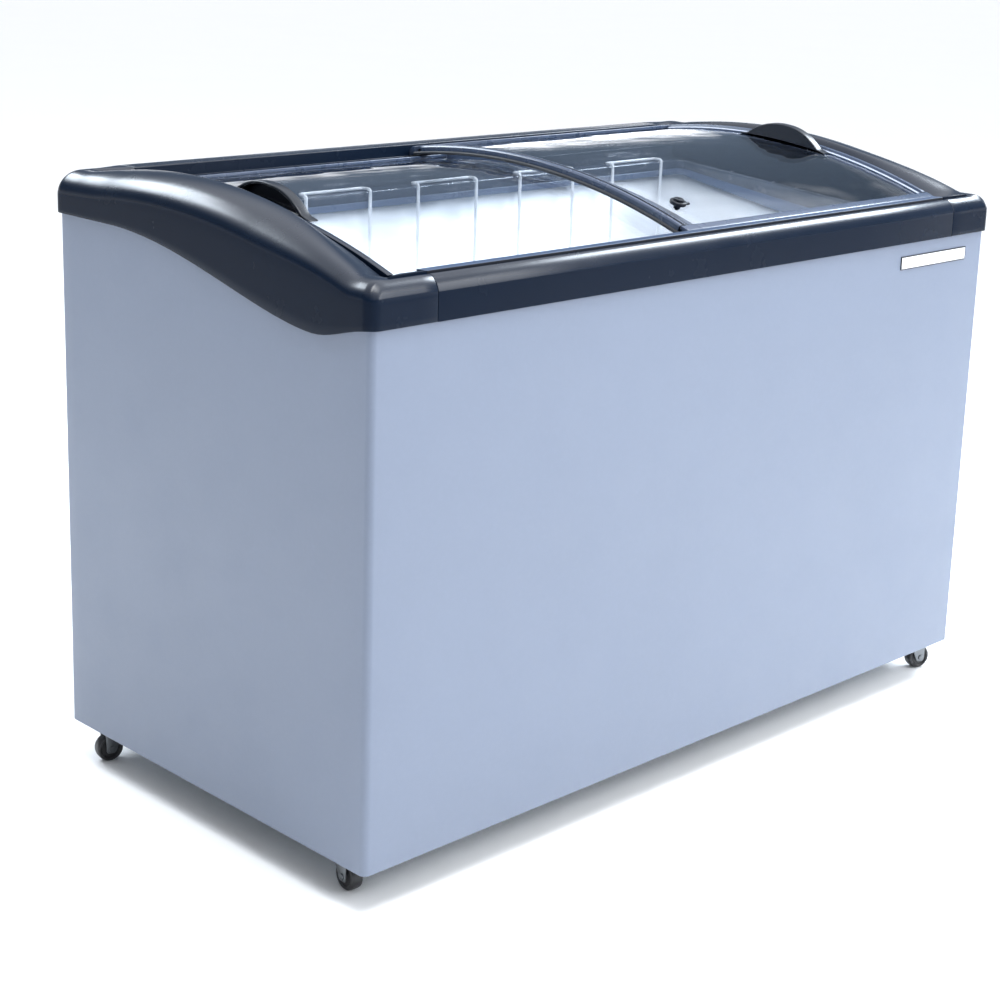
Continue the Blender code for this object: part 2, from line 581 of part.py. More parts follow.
# ---------------------------------------------------------------- baskets
tub = box("basket_tub", (-BASKET_W / 2, BASKET_Y0, BASKET_Z0), (BASKET_W / 2, BASKET_Y1, BASKET_Z1))
cut(tub, box("basket_room", (-BASKET_W / 2 + 0.004, BASKET_Y0 + 0.004, BASKET_Z0 + 0.004), (BASKET_W / 2 - 0.004, BASKET_Y1 - 0.004, 1)))
REAR_HOOK_Z = body_top(0.2590) + 0.0025 + WIRE_R + GAP
FRONT_HOOK_Z = body_top(-0.2220) + 0.0025 + WIRE_R + GAP
for tag, y_in, y_hook, z_hook in (("rear", BASKET_Y1 - 0.0023, 0.2550, REAR_HOOK_Z), ("front", BASKET_Y0 + 0.0020, -0.2330, FRONT_HOOK_Z)):
    pts = [(-0.062, y_in, BASKET_Z1 - 0.06), (-0.062, y_in, z_hook), (-0.062, y_hook, z_hook), (0.062, y_hook, z_hook),
           (0.062, y_in, z_hook), (0.062, y_in, BASKET_Z1 - 0.06)]
    add(tub, wire("basket_hanger_" + tag, rounded(pts, 0.004, 2), WIRE_R))
basket_mesh = final_mesh(tub)
as_cutter(tub)
for k in range(BASKET_N):
    b = link("basket_%d" % (k + 1), basket_mesh, "basket_wire")
    b.location.x = (k - (BASKET_N - 1) / 2) * BASKET_PITCH

# ---------------------------------------------------------------- machine room
tray = box("compressor_tray", (0.400, -0.060, Z_BASE + 0.002 + GAP), (0.600, 0.200, Z_BASE + 0.0045), "galvanised")
for k, (x, y) in enumerate(((0.430, -0.030), (0.570, -0.030), (0.430, 0.170), (0.570, 0.170))):
    add(tray, cyl("tray_foot_%d" % k, (x, y, Z_BASE + 0.0035), (x, y, Z_BASE + 0.020), 0.012, seg=12))

bm = bmesh.new()
prof = [(0.0, 0.190), (0.030, 0.187), (0.055, 0.176), (0.070, 0.155), (0.074, 0.125), (0.074, 0.060), (0.068, 0.035), (0.050, 0.020), (0.0, 0.016)]
vs = [bm.verts.new((x, 0, z)) for x, z in prof]
for a, b in zip(vs, vs[1:]):
    bm.edges.new((a, b))
me = bpy.data.meshes.new("compressor")
bm.to_mesh(me)
bm.free()
comp = link("compressor", me, "machine_black")
comp.location = (0.500, 0.070, Z_BASE + 0.008)
m = comp.modifiers.new("turn", "SCREW")
m.angle, m.steps, m.render_steps, m.axis = math.radians(360), 24, 24, "Z"
m.use_merge_vertices, m.merge_threshold, m.use_normal_calculate = True, 0.0001, True
soft(comp)
base_flange = box("compressor_flange", (-0.085, -0.110, 0.0125), (0.085, 0.110, 0.0165))
base_flange.location = comp.location
add(comp, base_flange)

cond = box("condenser", (0.395, 0.285, 0.085), (0.605, 0.315, 0.285), "galvanised")
for k in range(9):
    z = 0.100 + k * 0.020
    cut(cond, box("condenser_slot_%d" % k, (0.405, 0.2, z), (0.595, 0.303, z + 0.012)))

FX, FZ = 0.500, 0.185
brk = cyl("fan_bracket", (FX, 0.252, FZ), (FX, 0.280, FZ), 0.066, "galvanised", 32)
cut(brk, cyl("fan_bracket_bore", (FX, 0.2, FZ), (FX, 0.4, FZ), 0.062, seg=32))
add(brk, box("fan_bracket_bar", (FX - 0.064, 0.2525, FZ - 0.008), (FX + 0.064, 0.2545, FZ + 0.008)))
cut(brk, cyl("fan_bracket_hub", (FX, 0.2, FZ), (FX, 0.26, FZ), 0.0045, seg=16))
add(brk, box("fan_bracket_foot", (FX - 0.040, 0.255, Z_BASE + 0.002 + GAP), (FX + 0.040, 0.275, FZ - 0.0635)))
mot = cyl("fan_motor", (FX, 0.215, FZ), (FX, 0.2522, FZ), 0.030, "machine_black")
add(mot, cyl("fan_shaft", (FX, 0.25, FZ), (FX, 0.2620, FZ), 0.0040, seg=16))
fan = cyl("fan_blade", (FX, 0.2560, FZ), (FX, 0.2730, FZ), 0.016, "black_plastic")
for k in range(4):
    bl = box("fan_vane_%d" % k, (0.012, -0.0010, -0.018), (0.057, 0.0010, 0.018))
    bl.matrix_world = (Matrix.Translation((FX, 0.2665, FZ)) @ Matrix.Rotation(math.radians(90 * k), 4, "Y")
                       @ Matrix.Rotation(math.radians(20), 4, "X"))
    add(fan, bl)
cut(fan, cyl("fan_bore", (FX, 0.25, FZ), (FX, 0.2640, FZ), 0.0044, seg=16))

cyl("filter_drier", (0.620, -0.10, 0.090), (0.620, -0.10, 0.190), 0.012, "copper", 16)

grille = box("rear_grille", (0.370, D2 - 0.0045, 0.070), (0.630, D2 - 0.0018, 0.303), "black_plastic")
for k in range(9):
    z = 0.090 + k * 0.021
    x1 = 0.615
    x0 = 0.470 if z < 0.130 or z > 0.220 else 0.385
    cut(grille, box("louvre_%d" % k, (x0, 0.2, z), (x1, 0.4, z + 0.009)))
TX, TZ = 0.420, 0.262
cut(grille, cyl("knob_hole", (TX, 0.2, TZ), (TX, 0.4, TZ), 0.0145))
cut(grille, box("inlet_hole", (0.385, 0.2, 0.088), (0.435, 0.4, 0.122)))
house = box("thermostat_housing", (TX - 0.022, 0.318, TZ - 0.022), (TX + 0.022, D2 - 0.0048, TZ + 0.022), "machine_black")
knob = cyl("thermostat_knob", (TX, D2 - 0.0045, TZ), (TX, D2 + 0.0040, TZ), 0.0130, "black_plastic")
cut(knob, box("knob_mark", (TX - 0.0008, D2 + 0.0030, TZ), (TX + 0.0008, D2 + 0.02, TZ + 0.014)))
inlet = box("power_inlet", (0.3853, 0.317, 0.0883), (0.4347, D2 - 0.0012, 0.1217), "black_plastic")
cut(inlet, box("inlet_socket", (0.393, 0.320, 0.094), (0.427, 0.4, 0.116)))
for k, x in enumerate((0.402, 0.410, 0.418)):
    add(inlet, box("inlet_pin_%d" % k, (x - 0.001, 0.319, 0.102), (x + 0.001, 0.3242, 0.108)))

# ---------------------------------------------------------------- casters
for tag, (px, py, deg) in CASTERS.items():
    pivot = bpy.data.objects.new("caster_%s_pivot" % tag, None)
    parts.objects.link(pivot)
    pivot.location = (px, py, 0)
    turn = Matrix.Translation((px, py, 0)) @ Matrix.Rotation(math.radians(deg), 4, "Z")
    plate = box("caster_%s_plate" % tag, (px - 0.024, py - 0.021, 0.0552), (px + 0.024, py + 0.021, Z_BASE - GAP), "caster_steel")
    add(plate, cyl("caster_%s_race" % tag, (px, py, 0.0500), (px, py, 0.0560), 0.0125, seg=20))
    add(plate, cyl("caster_%s_kingpin" % tag, (px, py, 0.0445), (px, py, 0.0520), 0.0040, seg=16))
    add(plate, cyl("caster_%s_head" % tag, (px, py, 0.0435), (px, py, 0.0462), 0.0060, seg=16))

    fork = box("caster_%s_fork" % tag, (-0.013, -0.0120, 0.0466), (0.022, 0.0120, 0.0496), "caster_steel")
    for s in (-1, 1):
        leg = extrude_x("caster_%s_leg_%d" % (tag, s), [(-0.010, 0.0480), (0.021, 0.0480), (TRAIL + 0.007, 0.0160), (TRAIL + 0.004, 0.0135), (TRAIL - 0.004, 0.0135), (TRAIL - 0.007, 0.0160)], s * 0.0098, s * 0.0118)
        leg.matrix_world = turn @ Matrix.Rotation(math.radians(-90), 4, "Z")
        add(fork, leg)
    hole = cyl("caster_%s_pin_hole" % tag, (0, 0, 0.02), (0, 0, 0.08), 0.0044, seg=16)
    hole.matrix_world = turn
    cut(fork, hole)
    axle_hole = cyl("caster_%s_axle_hole" % tag, (TRAIL, -0.03, WHEEL_R), (TRAIL, 0.03, WHEEL_R), 0.0031, seg=12)
    axle_hole.matrix_world = turn
    cut(fork, axle_hole)
    fork.matrix_world = turn

    wheel = cyl("caster_%s_wheel" % tag, (0, -WHEEL_W / 2, 0), (0, WHEEL_W / 2, 0), WHEEL_R, "caster_wheel", 32)
    bore = cyl("caster_%s_bore" % tag, (0, -0.03, 0), (0, 0.03, 0), 0.0031, seg=12)
    bore.matrix_world = turn @ Matrix.Translation((TRAIL, 0, WHEEL_R))
    cut(wheel, bore)
    wheel.matrix_world = turn @ Matrix.Translation((TRAIL, 0, WHEEL_R))
    axle = cyl("caster_%s_axle" % tag, (0, -0.0130, 0), (0, 0.0130, 0), 0.0028, "caster_steel", 12)
    axle.matrix_world = turn @ Matrix.Translation((TRAIL, 0, WHEEL_R))
    bpy.context.view_layer.update()
    for ob in (fork, wheel, axle):
        world = ob.matrix_world.copy()
        ob.parent = pivot
        ob.matrix_parent_inverse = pivot.matrix_world.inverted()
        ob.matrix_world = world
    bpy.context.view_layer.update()
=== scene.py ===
import math

import bmesh
import bpy
from mathutils import Matrix, Vector


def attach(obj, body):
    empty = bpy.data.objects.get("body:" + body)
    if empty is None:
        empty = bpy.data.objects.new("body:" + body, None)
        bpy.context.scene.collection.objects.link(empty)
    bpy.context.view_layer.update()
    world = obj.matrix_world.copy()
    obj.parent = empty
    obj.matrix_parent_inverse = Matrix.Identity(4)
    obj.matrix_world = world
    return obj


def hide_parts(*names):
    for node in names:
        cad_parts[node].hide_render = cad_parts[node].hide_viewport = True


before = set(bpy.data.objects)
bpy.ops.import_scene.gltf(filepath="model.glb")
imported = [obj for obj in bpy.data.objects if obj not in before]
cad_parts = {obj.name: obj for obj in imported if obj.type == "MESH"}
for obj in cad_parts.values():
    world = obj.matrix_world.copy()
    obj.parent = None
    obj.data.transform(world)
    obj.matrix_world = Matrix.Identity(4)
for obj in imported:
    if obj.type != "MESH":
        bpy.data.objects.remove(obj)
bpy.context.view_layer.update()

# ================================================================ sizes shared with the design
W2, D2, CAP, LIP, Z_BASE = 0.645, 0.330, 0.006, 0.005, 0.058
CORNER_R, FLANGE_R, FLANGE = 0.010, 0.010, 0.012
ARC_R, ARC_Y, ARC_Z = 1.15, 0.105, 0.8825
SEAM_X, XO, XI = 0.545, 0.651, 0.572
YF, YR, YFI, YRI = -0.335, 0.335, -0.294, 0.292
LINER_X, LINER_Y0, LINER_Y1, LINER_Z0, STEP_X, STEP_Z = 0.570, -0.245, 0.250, 0.115, 0.300, 0.345
UP_TOP, UP_GLASS, UP_BOT = 0.004, 0.010, 0.018
LO_TOP, LO_GLASS, LO_BOT = 0.020, 0.025, 0.034
LEFT_X0, LEFT_X1, RIGHT_X0, RIGHT_X1 = -0.562, 0.027, -0.035, 0.560
BASKET_N, BASKET_PITCH, BASKET_W = 5, 0.222, 0.208
BASKET_Z0, BASKET_Z1, BASKET_Y0, BASKET_Y1, WIRE_R = 0.385, 0.605, -0.218, 0.2403, 0.0026
WHEEL_R, WHEEL_W, TRAIL = 0.020, 0.018, 0.012
CASTERS = {"fl": (-0.602, -0.241, -95.0), "rl": (-0.602, 0.279, 168.0), "fr": (0.615, -0.280, -20.0), "rr": (0.602, 0.279, 20.0)}


def crown(y):
    return ARC_Z - (ARC_R - math.sqrt(ARC_R ** 2 - (y - ARC_Y) ** 2))


def body_top(y):
    return 0.787 + 0.0758 * y


def collar_foot(y):
    return 0.7415 + 0.166 * y


def smooth(t):
    t = min(1.0, max(0.0, t))
    return t * t * (3 - 2 * t)


def mix(a, b, t):
    return a + (b - a) * t


def skirt(y):
    if y >= -0.23:
        return 0.735 + 0.073 * smooth(min(1.0, (y + 0.23) / 0.43) ** 0.85)
    return 0.735 + 0.019 * smooth((-0.23 - y) / 0.105)


def sheet_top(x, y):
    return max(body_top(y), skirt(y) + 0.005) if abs(x) > W2 - 0.0005 and y > -0.2 else body_top(y)


def normal_at(y):
    return Vector((0, y - ARC_Y, math.sqrt(ARC_R ** 2 - (y - ARC_Y) ** 2))).normalized()


def on_arc(x, y, h, depth=0.0):
    return Vector((x, y, crown(y) - depth)) + normal_at(y) * h


# ================================================================ materials
class Nodes:
    """A material's node tree with short ways to add what these materials use."""

    def __init__(self, name):
        self.mat = bpy.data.materials.new(name)
        self.mat.use_nodes = True
        self.nt = self.mat.node_tree
        self.bsdf = self.nt.nodes["Principled BSDF"]
        self.out = self.nt.nodes["Material Output"]
        self.coords = self.nt.nodes.new("ShaderNodeTexCoord").outputs["Object"]

    def link(self, a, b):
        self.nt.links.new(a, b)

    def mapped(self, scale=(1, 1, 1), rot=(0, 0, 0), loc=(0, 0, 0)):
        n = self.nt.nodes.new("ShaderNodeMapping")
        self.link(self.coords, n.inputs["Vector"])
        n.inputs["Scale"].default_value = scale
        n.inputs["Rotation"].default_value = rot
        n.inputs["Location"].default_value = loc
        return n.outputs["Vector"]

    def noise(self, scale, detail=2.0, rough=0.5, vec=None, distortion=0.0):
        n = self.nt.nodes.new("ShaderNodeTexNoise")
        n.inputs["Scale"].default_value = scale
        n.inputs["Detail"].default_value = detail
        n.inputs["Roughness"].default_value = rough
        n.inputs["Distortion"].default_value = distortion
        self.link(vec or self.coords, n.inputs["Vector"])
        return n.outputs["Fac"]

    def voronoi(self, scale, vec=None, feature="F1"):
        n = self.nt.nodes.new("ShaderNodeTexVoronoi")
        n.feature = feature
        n.inputs["Scale"].default_value = scale
        self.link(vec or self.coords, n.inputs["Vector"])
        return n.outputs["Distance"]

    def remap(self, fac, a, b, lo=0.0, hi=1.0, clamp=True):
        n = self.nt.nodes.new("ShaderNodeMapRange")
        n.clamp = clamp
        self.link(fac, n.inputs["Value"])
        for key, val in (("From Min", lo), ("From Max", hi), ("To Min", a), ("To Max", b)):
            n.inputs[key].default_value = val
        return n.outputs["Result"]

    def math(self, op, a, b=None):
        n = self.nt.nodes.new("ShaderNodeMath")
        n.operation = op
        for i, v in enumerate((a, b)):
            if v is None:
                continue
            if isinstance(v, (int, float)):
                n.inputs[i].default_value = v
            else:
                self.link(v, n.inputs[i])
        return n.outputs[0]

    def blend(self, fac, a, b, mode="MIX"):
        n = self.nt.nodes.new("ShaderNodeMix")
        n.data_type, n.blend_type = "RGBA", mode
        for i, v in ((0, fac), (6, a), (7, b)):
            if isinstance(v, (int, float)):
                n.inputs[i].default_value = v
            elif isinstance(v, (tuple, list)):
                n.inputs[i].default_value = (*v[:3], 1.0)
            else:
                self.link(v, n.inputs[i])
        return n.outputs[2]

    def bump(self, height, dist, strength=1.0, normal=None):
        n = self.nt.nodes.new("ShaderNodeBump")
        n.inputs["Distance"].default_value = dist
        n.inputs["Strength"].default_value = strength
        self.link(height, n.inputs["Height"])
        if normal is not None:
            self.link(normal, n.inputs["Normal"])
        return n.outputs["Normal"]

    def set(self, **kw):
        for k, v in kw.items():
            s = self.bsdf.inputs[k.replace("_", " ")]
            if isinstance(v, (int, float)):
                s.default_value = v
            elif isinstance(v, (tuple, list)):
                s.default_value = (*v[:3], 1.0)
            else:
                self.link(v, s)
        return self


MATS = {}


def moulded(name, color, rough, grain=900.0, grain_h=0.00002, cloud=0.10, rough_var=0.06, coat=0.0, coat_rough=0.1, metal=0.0,
            edge=0.25, spec=0.5, top_spec=None):
    """Moulded plastic or coated metal: slow colour drift, fine grain, worn lighter edges."""
    m = Nodes(name)
    drift = m.noise(3.1, 3.0, 0.55)
    fine = m.noise(grain * 0.35, 2.0, 0.6)
    lo = tuple(c * (1 - cloud) for c in color)
    hi = tuple(min(1.0, c * (1 + cloud)) for c in color)
    base = m.blend(m.remap(drift, 0, 1, 0.3, 0.7), lo, hi)
    base = m.blend(m.remap(fine, 0.0, 0.35, 0.45, 0.75), base, tuple(min(1, c * 1.06) for c in color))
    if edge:
        geo = m.nt.nodes.new("ShaderNodeNewGeometry")
        worn = m.remap(geo.outputs["Pointiness"], 0.0, edge, 0.53, 0.62)
        worn = m.math("MULTIPLY", worn, m.remap(m.noise(60, 3.0), 0.3, 1.0, 0.4, 0.6))
        base = m.blend(worn, base, tuple(min(1.0, c * 1.5 + 0.03) for c in color))
    smudge = m.noise(14.0, 4.0, 0.6, m.mapped((1, 1, 1), (0.3, 0.2, 0.7)))
    r = m.remap(smudge, rough - rough_var, rough + rough_var, 0.3, 0.7)
    n = m.bump(m.noise(grain, 2.0, 0.55), grain_h)
    m.set(Base_Color=base, Roughness=r, Metallic=metal, Coat_Weight=coat, Coat_Roughness=coat_rough, Normal=n)
    m.bsdf.inputs["Specular IOR Level"].default_value = spec
    if top_spec is not None:
        # the faces that look up are polished, the upright ones satin
        facing = m.nt.nodes.new("ShaderNodeSeparateXYZ")
        m.link(m.nt.nodes.new("ShaderNodeNewGeometry").outputs["Normal"], facing.inputs[0])
        m.link(m.remap(facing.outputs["Z"], spec, top_spec, 0.05, 0.70), m.bsdf.inputs["Specular IOR Level"])
    MATS[name] = m.mat
    return m.mat


def brushed(name, color, rough, stretch=(2, 120, 120), metal=1.0, spangle=False):
    """Bare sheet or plated steel with fine drawn lines, or zinc spangle."""
    m = Nodes(name)
    if spangle:
        cells = m.nt.nodes.new("ShaderNodeTexVoronoi")
        cells.inputs["Scale"].default_value = 120
        m.link(m.coords, cells.inputs["Vector"])
        sep = m.nt.nodes.new("ShaderNodeSeparateColor")
        m.link(cells.outputs["Color"], sep.inputs[0])
        tone = m.remap(sep.outputs[0], 0.35, 0.62)
    else:
        tone = m.noise(9.0, 4.0, 0.7, m.mapped(stretch))
    base = m.blend(tone, tuple(c * 0.78 for c in color), tuple(min(1, c * 1.15) for c in color))
    grime = m.remap(m.noise(11, 4.0, 0.6), 0.0, 0.5, 0.5, 0.8)
    base = m.blend(grime, base, tuple(c * 0.6 for c in color))
    m.set(Base_Color=base, Roughness=m.remap(tone, rough - 0.08, rough + 0.10), Metallic=metal,
          Normal=m.bump(m.noise(30, 3.0, 0.6, m.mapped(stretch)), 0.00003))
    MATS[name] = m.mat
    return m.mat


moulded("cabinet_paint", (0.156, 0.188, 0.256), 0.38, grain=420, grain_h=0.000035, cloud=0.015, rough_var=0.05, edge=0.0)
moulded("frame_plastic", (0.003, 0.0075, 0.018), 0.26, grain=1500, grain_h=0.000003, cloud=0.06, rough_var=0.025, edge=0.0, spec=0.08,
        top_spec=0.42)
moulded("track_strip", (0.034, 0.054, 0.100), 0.34, grain=1500, grain_h=0.000004, cloud=0.05, rough_var=0.03, edge=0.0, spec=0.3)
moulded("lid_profile", (0.036, 0.052, 0.090), 0.28, grain=1100, grain_h=0.000004, cloud=0.05, rough_var=0.03, edge=0.0)
# pale tone for the upward faces of the upper lid's profiles: a painted highlight, the thin light line that runs along
# them
moulded("bar_painted_highlight", (0.330, 0.370, 0.460), 0.26, grain=1100, grain_h=0.000004, cloud=0.05, rough_var=0.03, edge=0.0)
moulded("shadow_line", (0.004, 0.006, 0.012), 0.45, grain=1100, grain_h=0.000004, cloud=0.05, rough_var=0.03, edge=0.0, spec=0.2)
moulded("collar_pale", (0.120, 0.155, 0.235), 0.30, grain=600, grain_h=0.00002, cloud=0.06, rough_var=0.05, edge=0.0)
moulded("black_plastic", (0.006, 0.009, 0.015), 0.30, grain=1300, grain_h=0.000004, cloud=0.1, rough_var=0.05, edge=0.0, spec=0.3)
moulded("seal_rubber", (0.007, 0.009, 0.014), 0.62, grain=900, grain_h=0.00002, cloud=0.15, rough_var=0.08, edge=0.0)
moulded("basket_wire", (0.93, 0.94, 0.97), 0.28, grain=500, grain_h=0.00003, cloud=0.02, rough_var=0.05, edge=0.0, coat=0.3)
moulded("caster_wheel", (0.013, 0.013, 0.015), 0.42, grain=700, grain_h=0.00005, cloud=0.25, rough_var=0.08, edge=0.3)
moulded("badge_white", (0.83, 0.85, 0.88), 0.32, grain=600, grain_h=0.00001, cloud=0.01, rough_var=0.03, edge=0.0)
moulded("badge_border", (0.010, 0.011, 0.014), 0.35, grain=900, grain_h=0.00001, cloud=0.05, rough_var=0.03, edge=0.0)
moulded("machine_black", (0.018, 0.018, 0.020), 0.38, grain=260, grain_h=0.00006, cloud=0.2, rough_var=0.08, edge=0.3)
moulded("foam", (0.80, 0.74, 0.52), 0.85, grain=300, grain_h=0.0002, cloud=0.06, rough_var=0.05, edge=0.0)
brushed("caster_steel", (0.16, 0.17, 0.18), 0.32, (60, 60, 4))
brushed("galvanised", (0.31, 0.33, 0.355), 0.48, spangle=True, metal=0.75)
brushed("copper", (0.72, 0.36, 0.22), 0.30, (40, 40, 40))
brushed("screw_zinc", (0.55, 0.56, 0.58), 0.30, (200, 200, 20))


def liner_material():
    """White coated aluminium with a faint stucco emboss."""
    m = Nodes("liner_white")
    cells = m.voronoi(230, feature="SMOOTH_F1")
    soft_noise = m.noise(70, 3.0, 0.5)
    h = m.math("ADD", m.math("MULTIPLY", cells, 0.6), m.math("MULTIPLY", soft_noise, 0.6))
    base = m.blend(m.remap(m.noise(2.2, 3.0), 0.0, 1.0, 0.3, 0.7), (0.865, 0.888, 0.925), (0.880, 0.900, 0.935))
    m.set(Base_Color=base, Roughness=m.remap(m.noise(18, 3.0), 0.30, 0.42, 0.3, 0.7), Normal=m.bump(h, 0.00012))
    MATS["liner_white"] = m.mat


def collar_material():
    """Satin dark plastic of the breaker collar, its film-covered faces slightly crinkled."""
    m = Nodes("collar_plastic")
    wave = m.noise(26.0, 5.0, 0.62, m.mapped((0.35, 1.6, 1.6), (0.0, 0.0, 0.25)), 1.4)
    fold = m.voronoi(24.0, m.mapped((0.30, 1.3, 1.3), (0, 0, 0.4)), "DISTANCE_TO_EDGE")
    h = m.math("ADD", wave, m.math("MULTIPLY", fold, 0.35))
    base = m.blend(m.remap(m.noise(9.0, 4.0, 0.6), 0.0, 1.0, 0.3, 0.7), (0.034, 0.042, 0.062), (0.058, 0.070, 0.102))
    n = m.bump(h, 0.0020, 0.80)
    n = m.bump(m.noise(900, 2.0), 0.00002, 1.0, n)
    m.set(Base_Color=base, Roughness=m.remap(m.noise(35, 3.0), 0.16, 0.30, 0.3, 0.7), Normal=n, Coat_Weight=0.8, Coat_Roughness=0.06)
    MATS["collar_plastic"] = m.mat


def glass_material(name, tint, wave_h):
    """A clear pane: it mirrors more at a glancing angle and lets everything else through."""
    m = Nodes(name)
    nt = m.nt
    lw = nt.nodes.new("ShaderNodeLayerWeight")
    lw.inputs["Blend"].default_value = 0.5
    p5 = m.math("POWER", lw.outputs["Facing"], 5.0)
    fac = m.math("ADD", m.math("MULTIPLY", p5, 0.90), 0.035)
    clear = nt.nodes.new("ShaderNodeBsdfTransparent")
    streak = m.noise(3.0, 3.0, 0.5, m.mapped((1, 0.5, 1)))
    m.link(m.blend(m.remap(streak, 0, 1, 0.3, 0.7), tuple(t * 0.985 for t in tint), tint), clear.inputs["Color"])
    m.set(Base_Color=m.blend(m.remap(m.noise(8.0, 4.0, 0.6), 0, 1, 0.3, 0.7), (0.93, 0.95, 0.98), (1.0, 1.0, 1.0)), Metallic=1.0,
          Roughness=m.remap(m.noise(6.0, 4.0, 0.65, m.mapped((1, 0.4, 1), (0, 0, 0.5))), 0.015, 0.05, 0.45, 0.75),
          Normal=m.bump(m.noise(5.5, 2.0, 0.5, m.mapped((1.0, 1.5, 1.0))), wave_h))
    mixer = nt.nodes.new("ShaderNodeMixShader")
    m.link(fac, mixer.inputs[0])
    m.link(clear.outputs[0], mixer.inputs[1])
    m.link(m.bsdf.outputs[0], mixer.inputs[2])
    m.link(mixer.outputs[0], m.out.inputs["Surface"])
    MATS[name] = m.mat


liner_material()
collar_material()
glass_material("lid_glass", (0.925, 0.945, 0.965), 0.004)

# ================================================================ mesh helpers
PIECES = []


def finish_piece(name, bm, mat, body, stands_for=(), sharp=32, flip=True):
    if flip:
        bmesh.ops.recalc_face_normals(bm, faces=bm.faces)
    me = bpy.data.meshes.new(name)
    bm.to_mesh(me)
    bm.free()
    me.shade_smooth()
    me.set_sharp_from_angle(angle=math.radians(sharp))
    ob = bpy.data.objects.new(name, me)
    bpy.context.scene.collection.objects.link(ob)
    for one in (mat if isinstance(mat, (list, tuple)) else [mat]):
        me.materials.append(MATS[one])
    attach(ob, body)
    if stands_for:
        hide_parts(*stands_for)
    PIECES.append(ob)
    return ob


def skin(bm, rings, close=True, cap_start=True, cap_end=True, mat_index=0):
    """Joins rings of equal length; each ring is closed when close is set."""
    rows = [[bm.verts.new(p) for p in ring] for ring in rings]
    n = len(rows[0])
    for a, b in zip(rows, rows[1:]):
        for i in range(n if close else n - 1):
            j = (i + 1) % n
            quad = [a[i], a[j], b[j], b[i]]
            if len({tuple(round(c, 7) for c in v.co) for v in quad}) == 4:
                f = bm.faces.new(quad)
                f.material_index = mat_index
            else:
                seen, keep = set(), []
                for v in quad:
                    k = tuple(round(c, 7) for c in v.co)
                    if k not in seen:
                        seen.add(k)
                        keep.append(v)
                if len(keep) == 3:
                    f = bm.faces.new(keep)
                    f.material_index = mat_index
    if close and cap_start:
        bm.faces.new(rows[0][::-1]).material_index = mat_index
    if close and cap_end:
        bm.faces.new(rows[-1]).material_index = mat_index
    return rows


def fillet(pts, r, n=5, closed=True):
    """A polyline of 2-D points with each corner rounded; r is one radius or one for each point."""
    out, m = [], len(pts)
    for i, p in enumerate(pts):
        rr = r[i] if isinstance(r, (list, tuple)) else r
        b = Vector(p)
        if (not closed and i in (0, m - 1)) or rr <= 0:
            out.append(b)
            continue
        a, c = Vector(pts[i - 1]), Vector(pts[(i + 1) % m])
        u, v = (a - b), (c - b)
        lu, lv = u.length, v.length
        u, v = u / lu, v / lv
        half = math.acos(max(-1, min(1, u.dot(v)))) / 2
        if half > math.radians(86):
            out.append(b)
            continue
        t = min(rr / math.tan(half), lu * 0.48, lv * 0.48)
        rad = t * math.tan(half)
        centre = b + (u + v).normalized() * (rad / math.sin(half))
        p0, p1 = b + u * t, b + v * t
        a0, a1 = p0 - centre, p1 - centre
        ang = math.atan2(a0.x * a1.y - a0.y * a1.x, a0.dot(a1))
        for k in range(n + 1):
            s, co = math.sin(ang * k / n), math.cos(ang * k / n)
            out.append(centre + Vector((a0.x * co - a0.y * s, a0.x * s + a0.y * co)))
    return out


def area2(pts):
    return sum(a.x * b.y - b.x * a.y for a, b in zip(pts, pts[1:] + pts[:1])) / 2


def inset(pts, e):
    """A closed 2-D outline moved inwards by e."""
    sign = 1 if area2(pts) > 0 else -1
    out, m = [], len(pts)
    for i, p in enumerate(pts):
        u = (p - pts[i - 1]).normalized() if (p - pts[i - 1]).length > 1e-9 else Vector((0, 0))
        v = (pts[(i + 1) % m] - p).normalized() if (pts[(i + 1) % m] - p).length > 1e-9 else Vector((0, 0))
        n = Vector((-(u.y + v.y), u.x + v.x))
        n = n.normalized() if n.length > 1e-9 else Vector((0, 0))
        out.append(p + n * (sign * e))
    return out


def end_steps(e, n=3):
    """(distance from the end, inset): starts at the end face with inset e, ends at distance e with inset 0."""
    return [(e * (1 - math.cos(math.pi / 2 * k / n)), e * (1 - math.sin(math.pi / 2 * k / n))) for k in range(n + 1)]


def prism(name, outline, x0, x1, mat, body, stands_for=(), e=0.0005, mids=(), sharp=32):
    """An outline of (y, z) points run along X, with eased ends."""
    bm = bmesh.new()
    rings = []
    for d, i in end_steps(e):
        rings.append([Vector((x0 + d, q.x, q.y)) for q in inset(outline, i)])
    for x in mids:
        rings.append([Vector((x, q.x, q.y)) for q in outline])
    for d, i in reversed(end_steps(e)):
        rings.append([Vector((x1 - d, q.x, q.y)) for q in inset(outline, i)])
    skin(bm, rings)
    return finish_piece(name, bm, mat, body, stands_for, sharp)


def along_arc(name, section, y0, y1, mat, body, stands_for=(), e=0.0005, n=40, sharp=32, stretch=None):
    """A closed section of (x, h) points run along the crown arc, h measured up from the arc."""
    bm = bmesh.new()
    rings = []

    def ring(y, sec):
        return [on_arc(q.x, y, q.y) for q in sec]
    for d, i in end_steps(e):
        rings.append(ring(y0 + d, inset(section, i)))
    for k in range(1, n):
        rings.append(ring(mix(y0, y1, k / n), section))
    for d, i in reversed(end_steps(e)):
        rings.append(ring(y1 - d, inset(section, i)))
    skin(bm, rings)
    return finish_piece(name, bm, mat, body, stands_for, sharp)


def turned_rings(profile, seg):
    """Rings about +Z of a profile of (r, z) points."""
    return [[Vector((r * math.cos(2 * math.pi * k / seg), r * math.sin(2 * math.pi * k / seg), z)) for k in range(seg)] for r, z in profile]


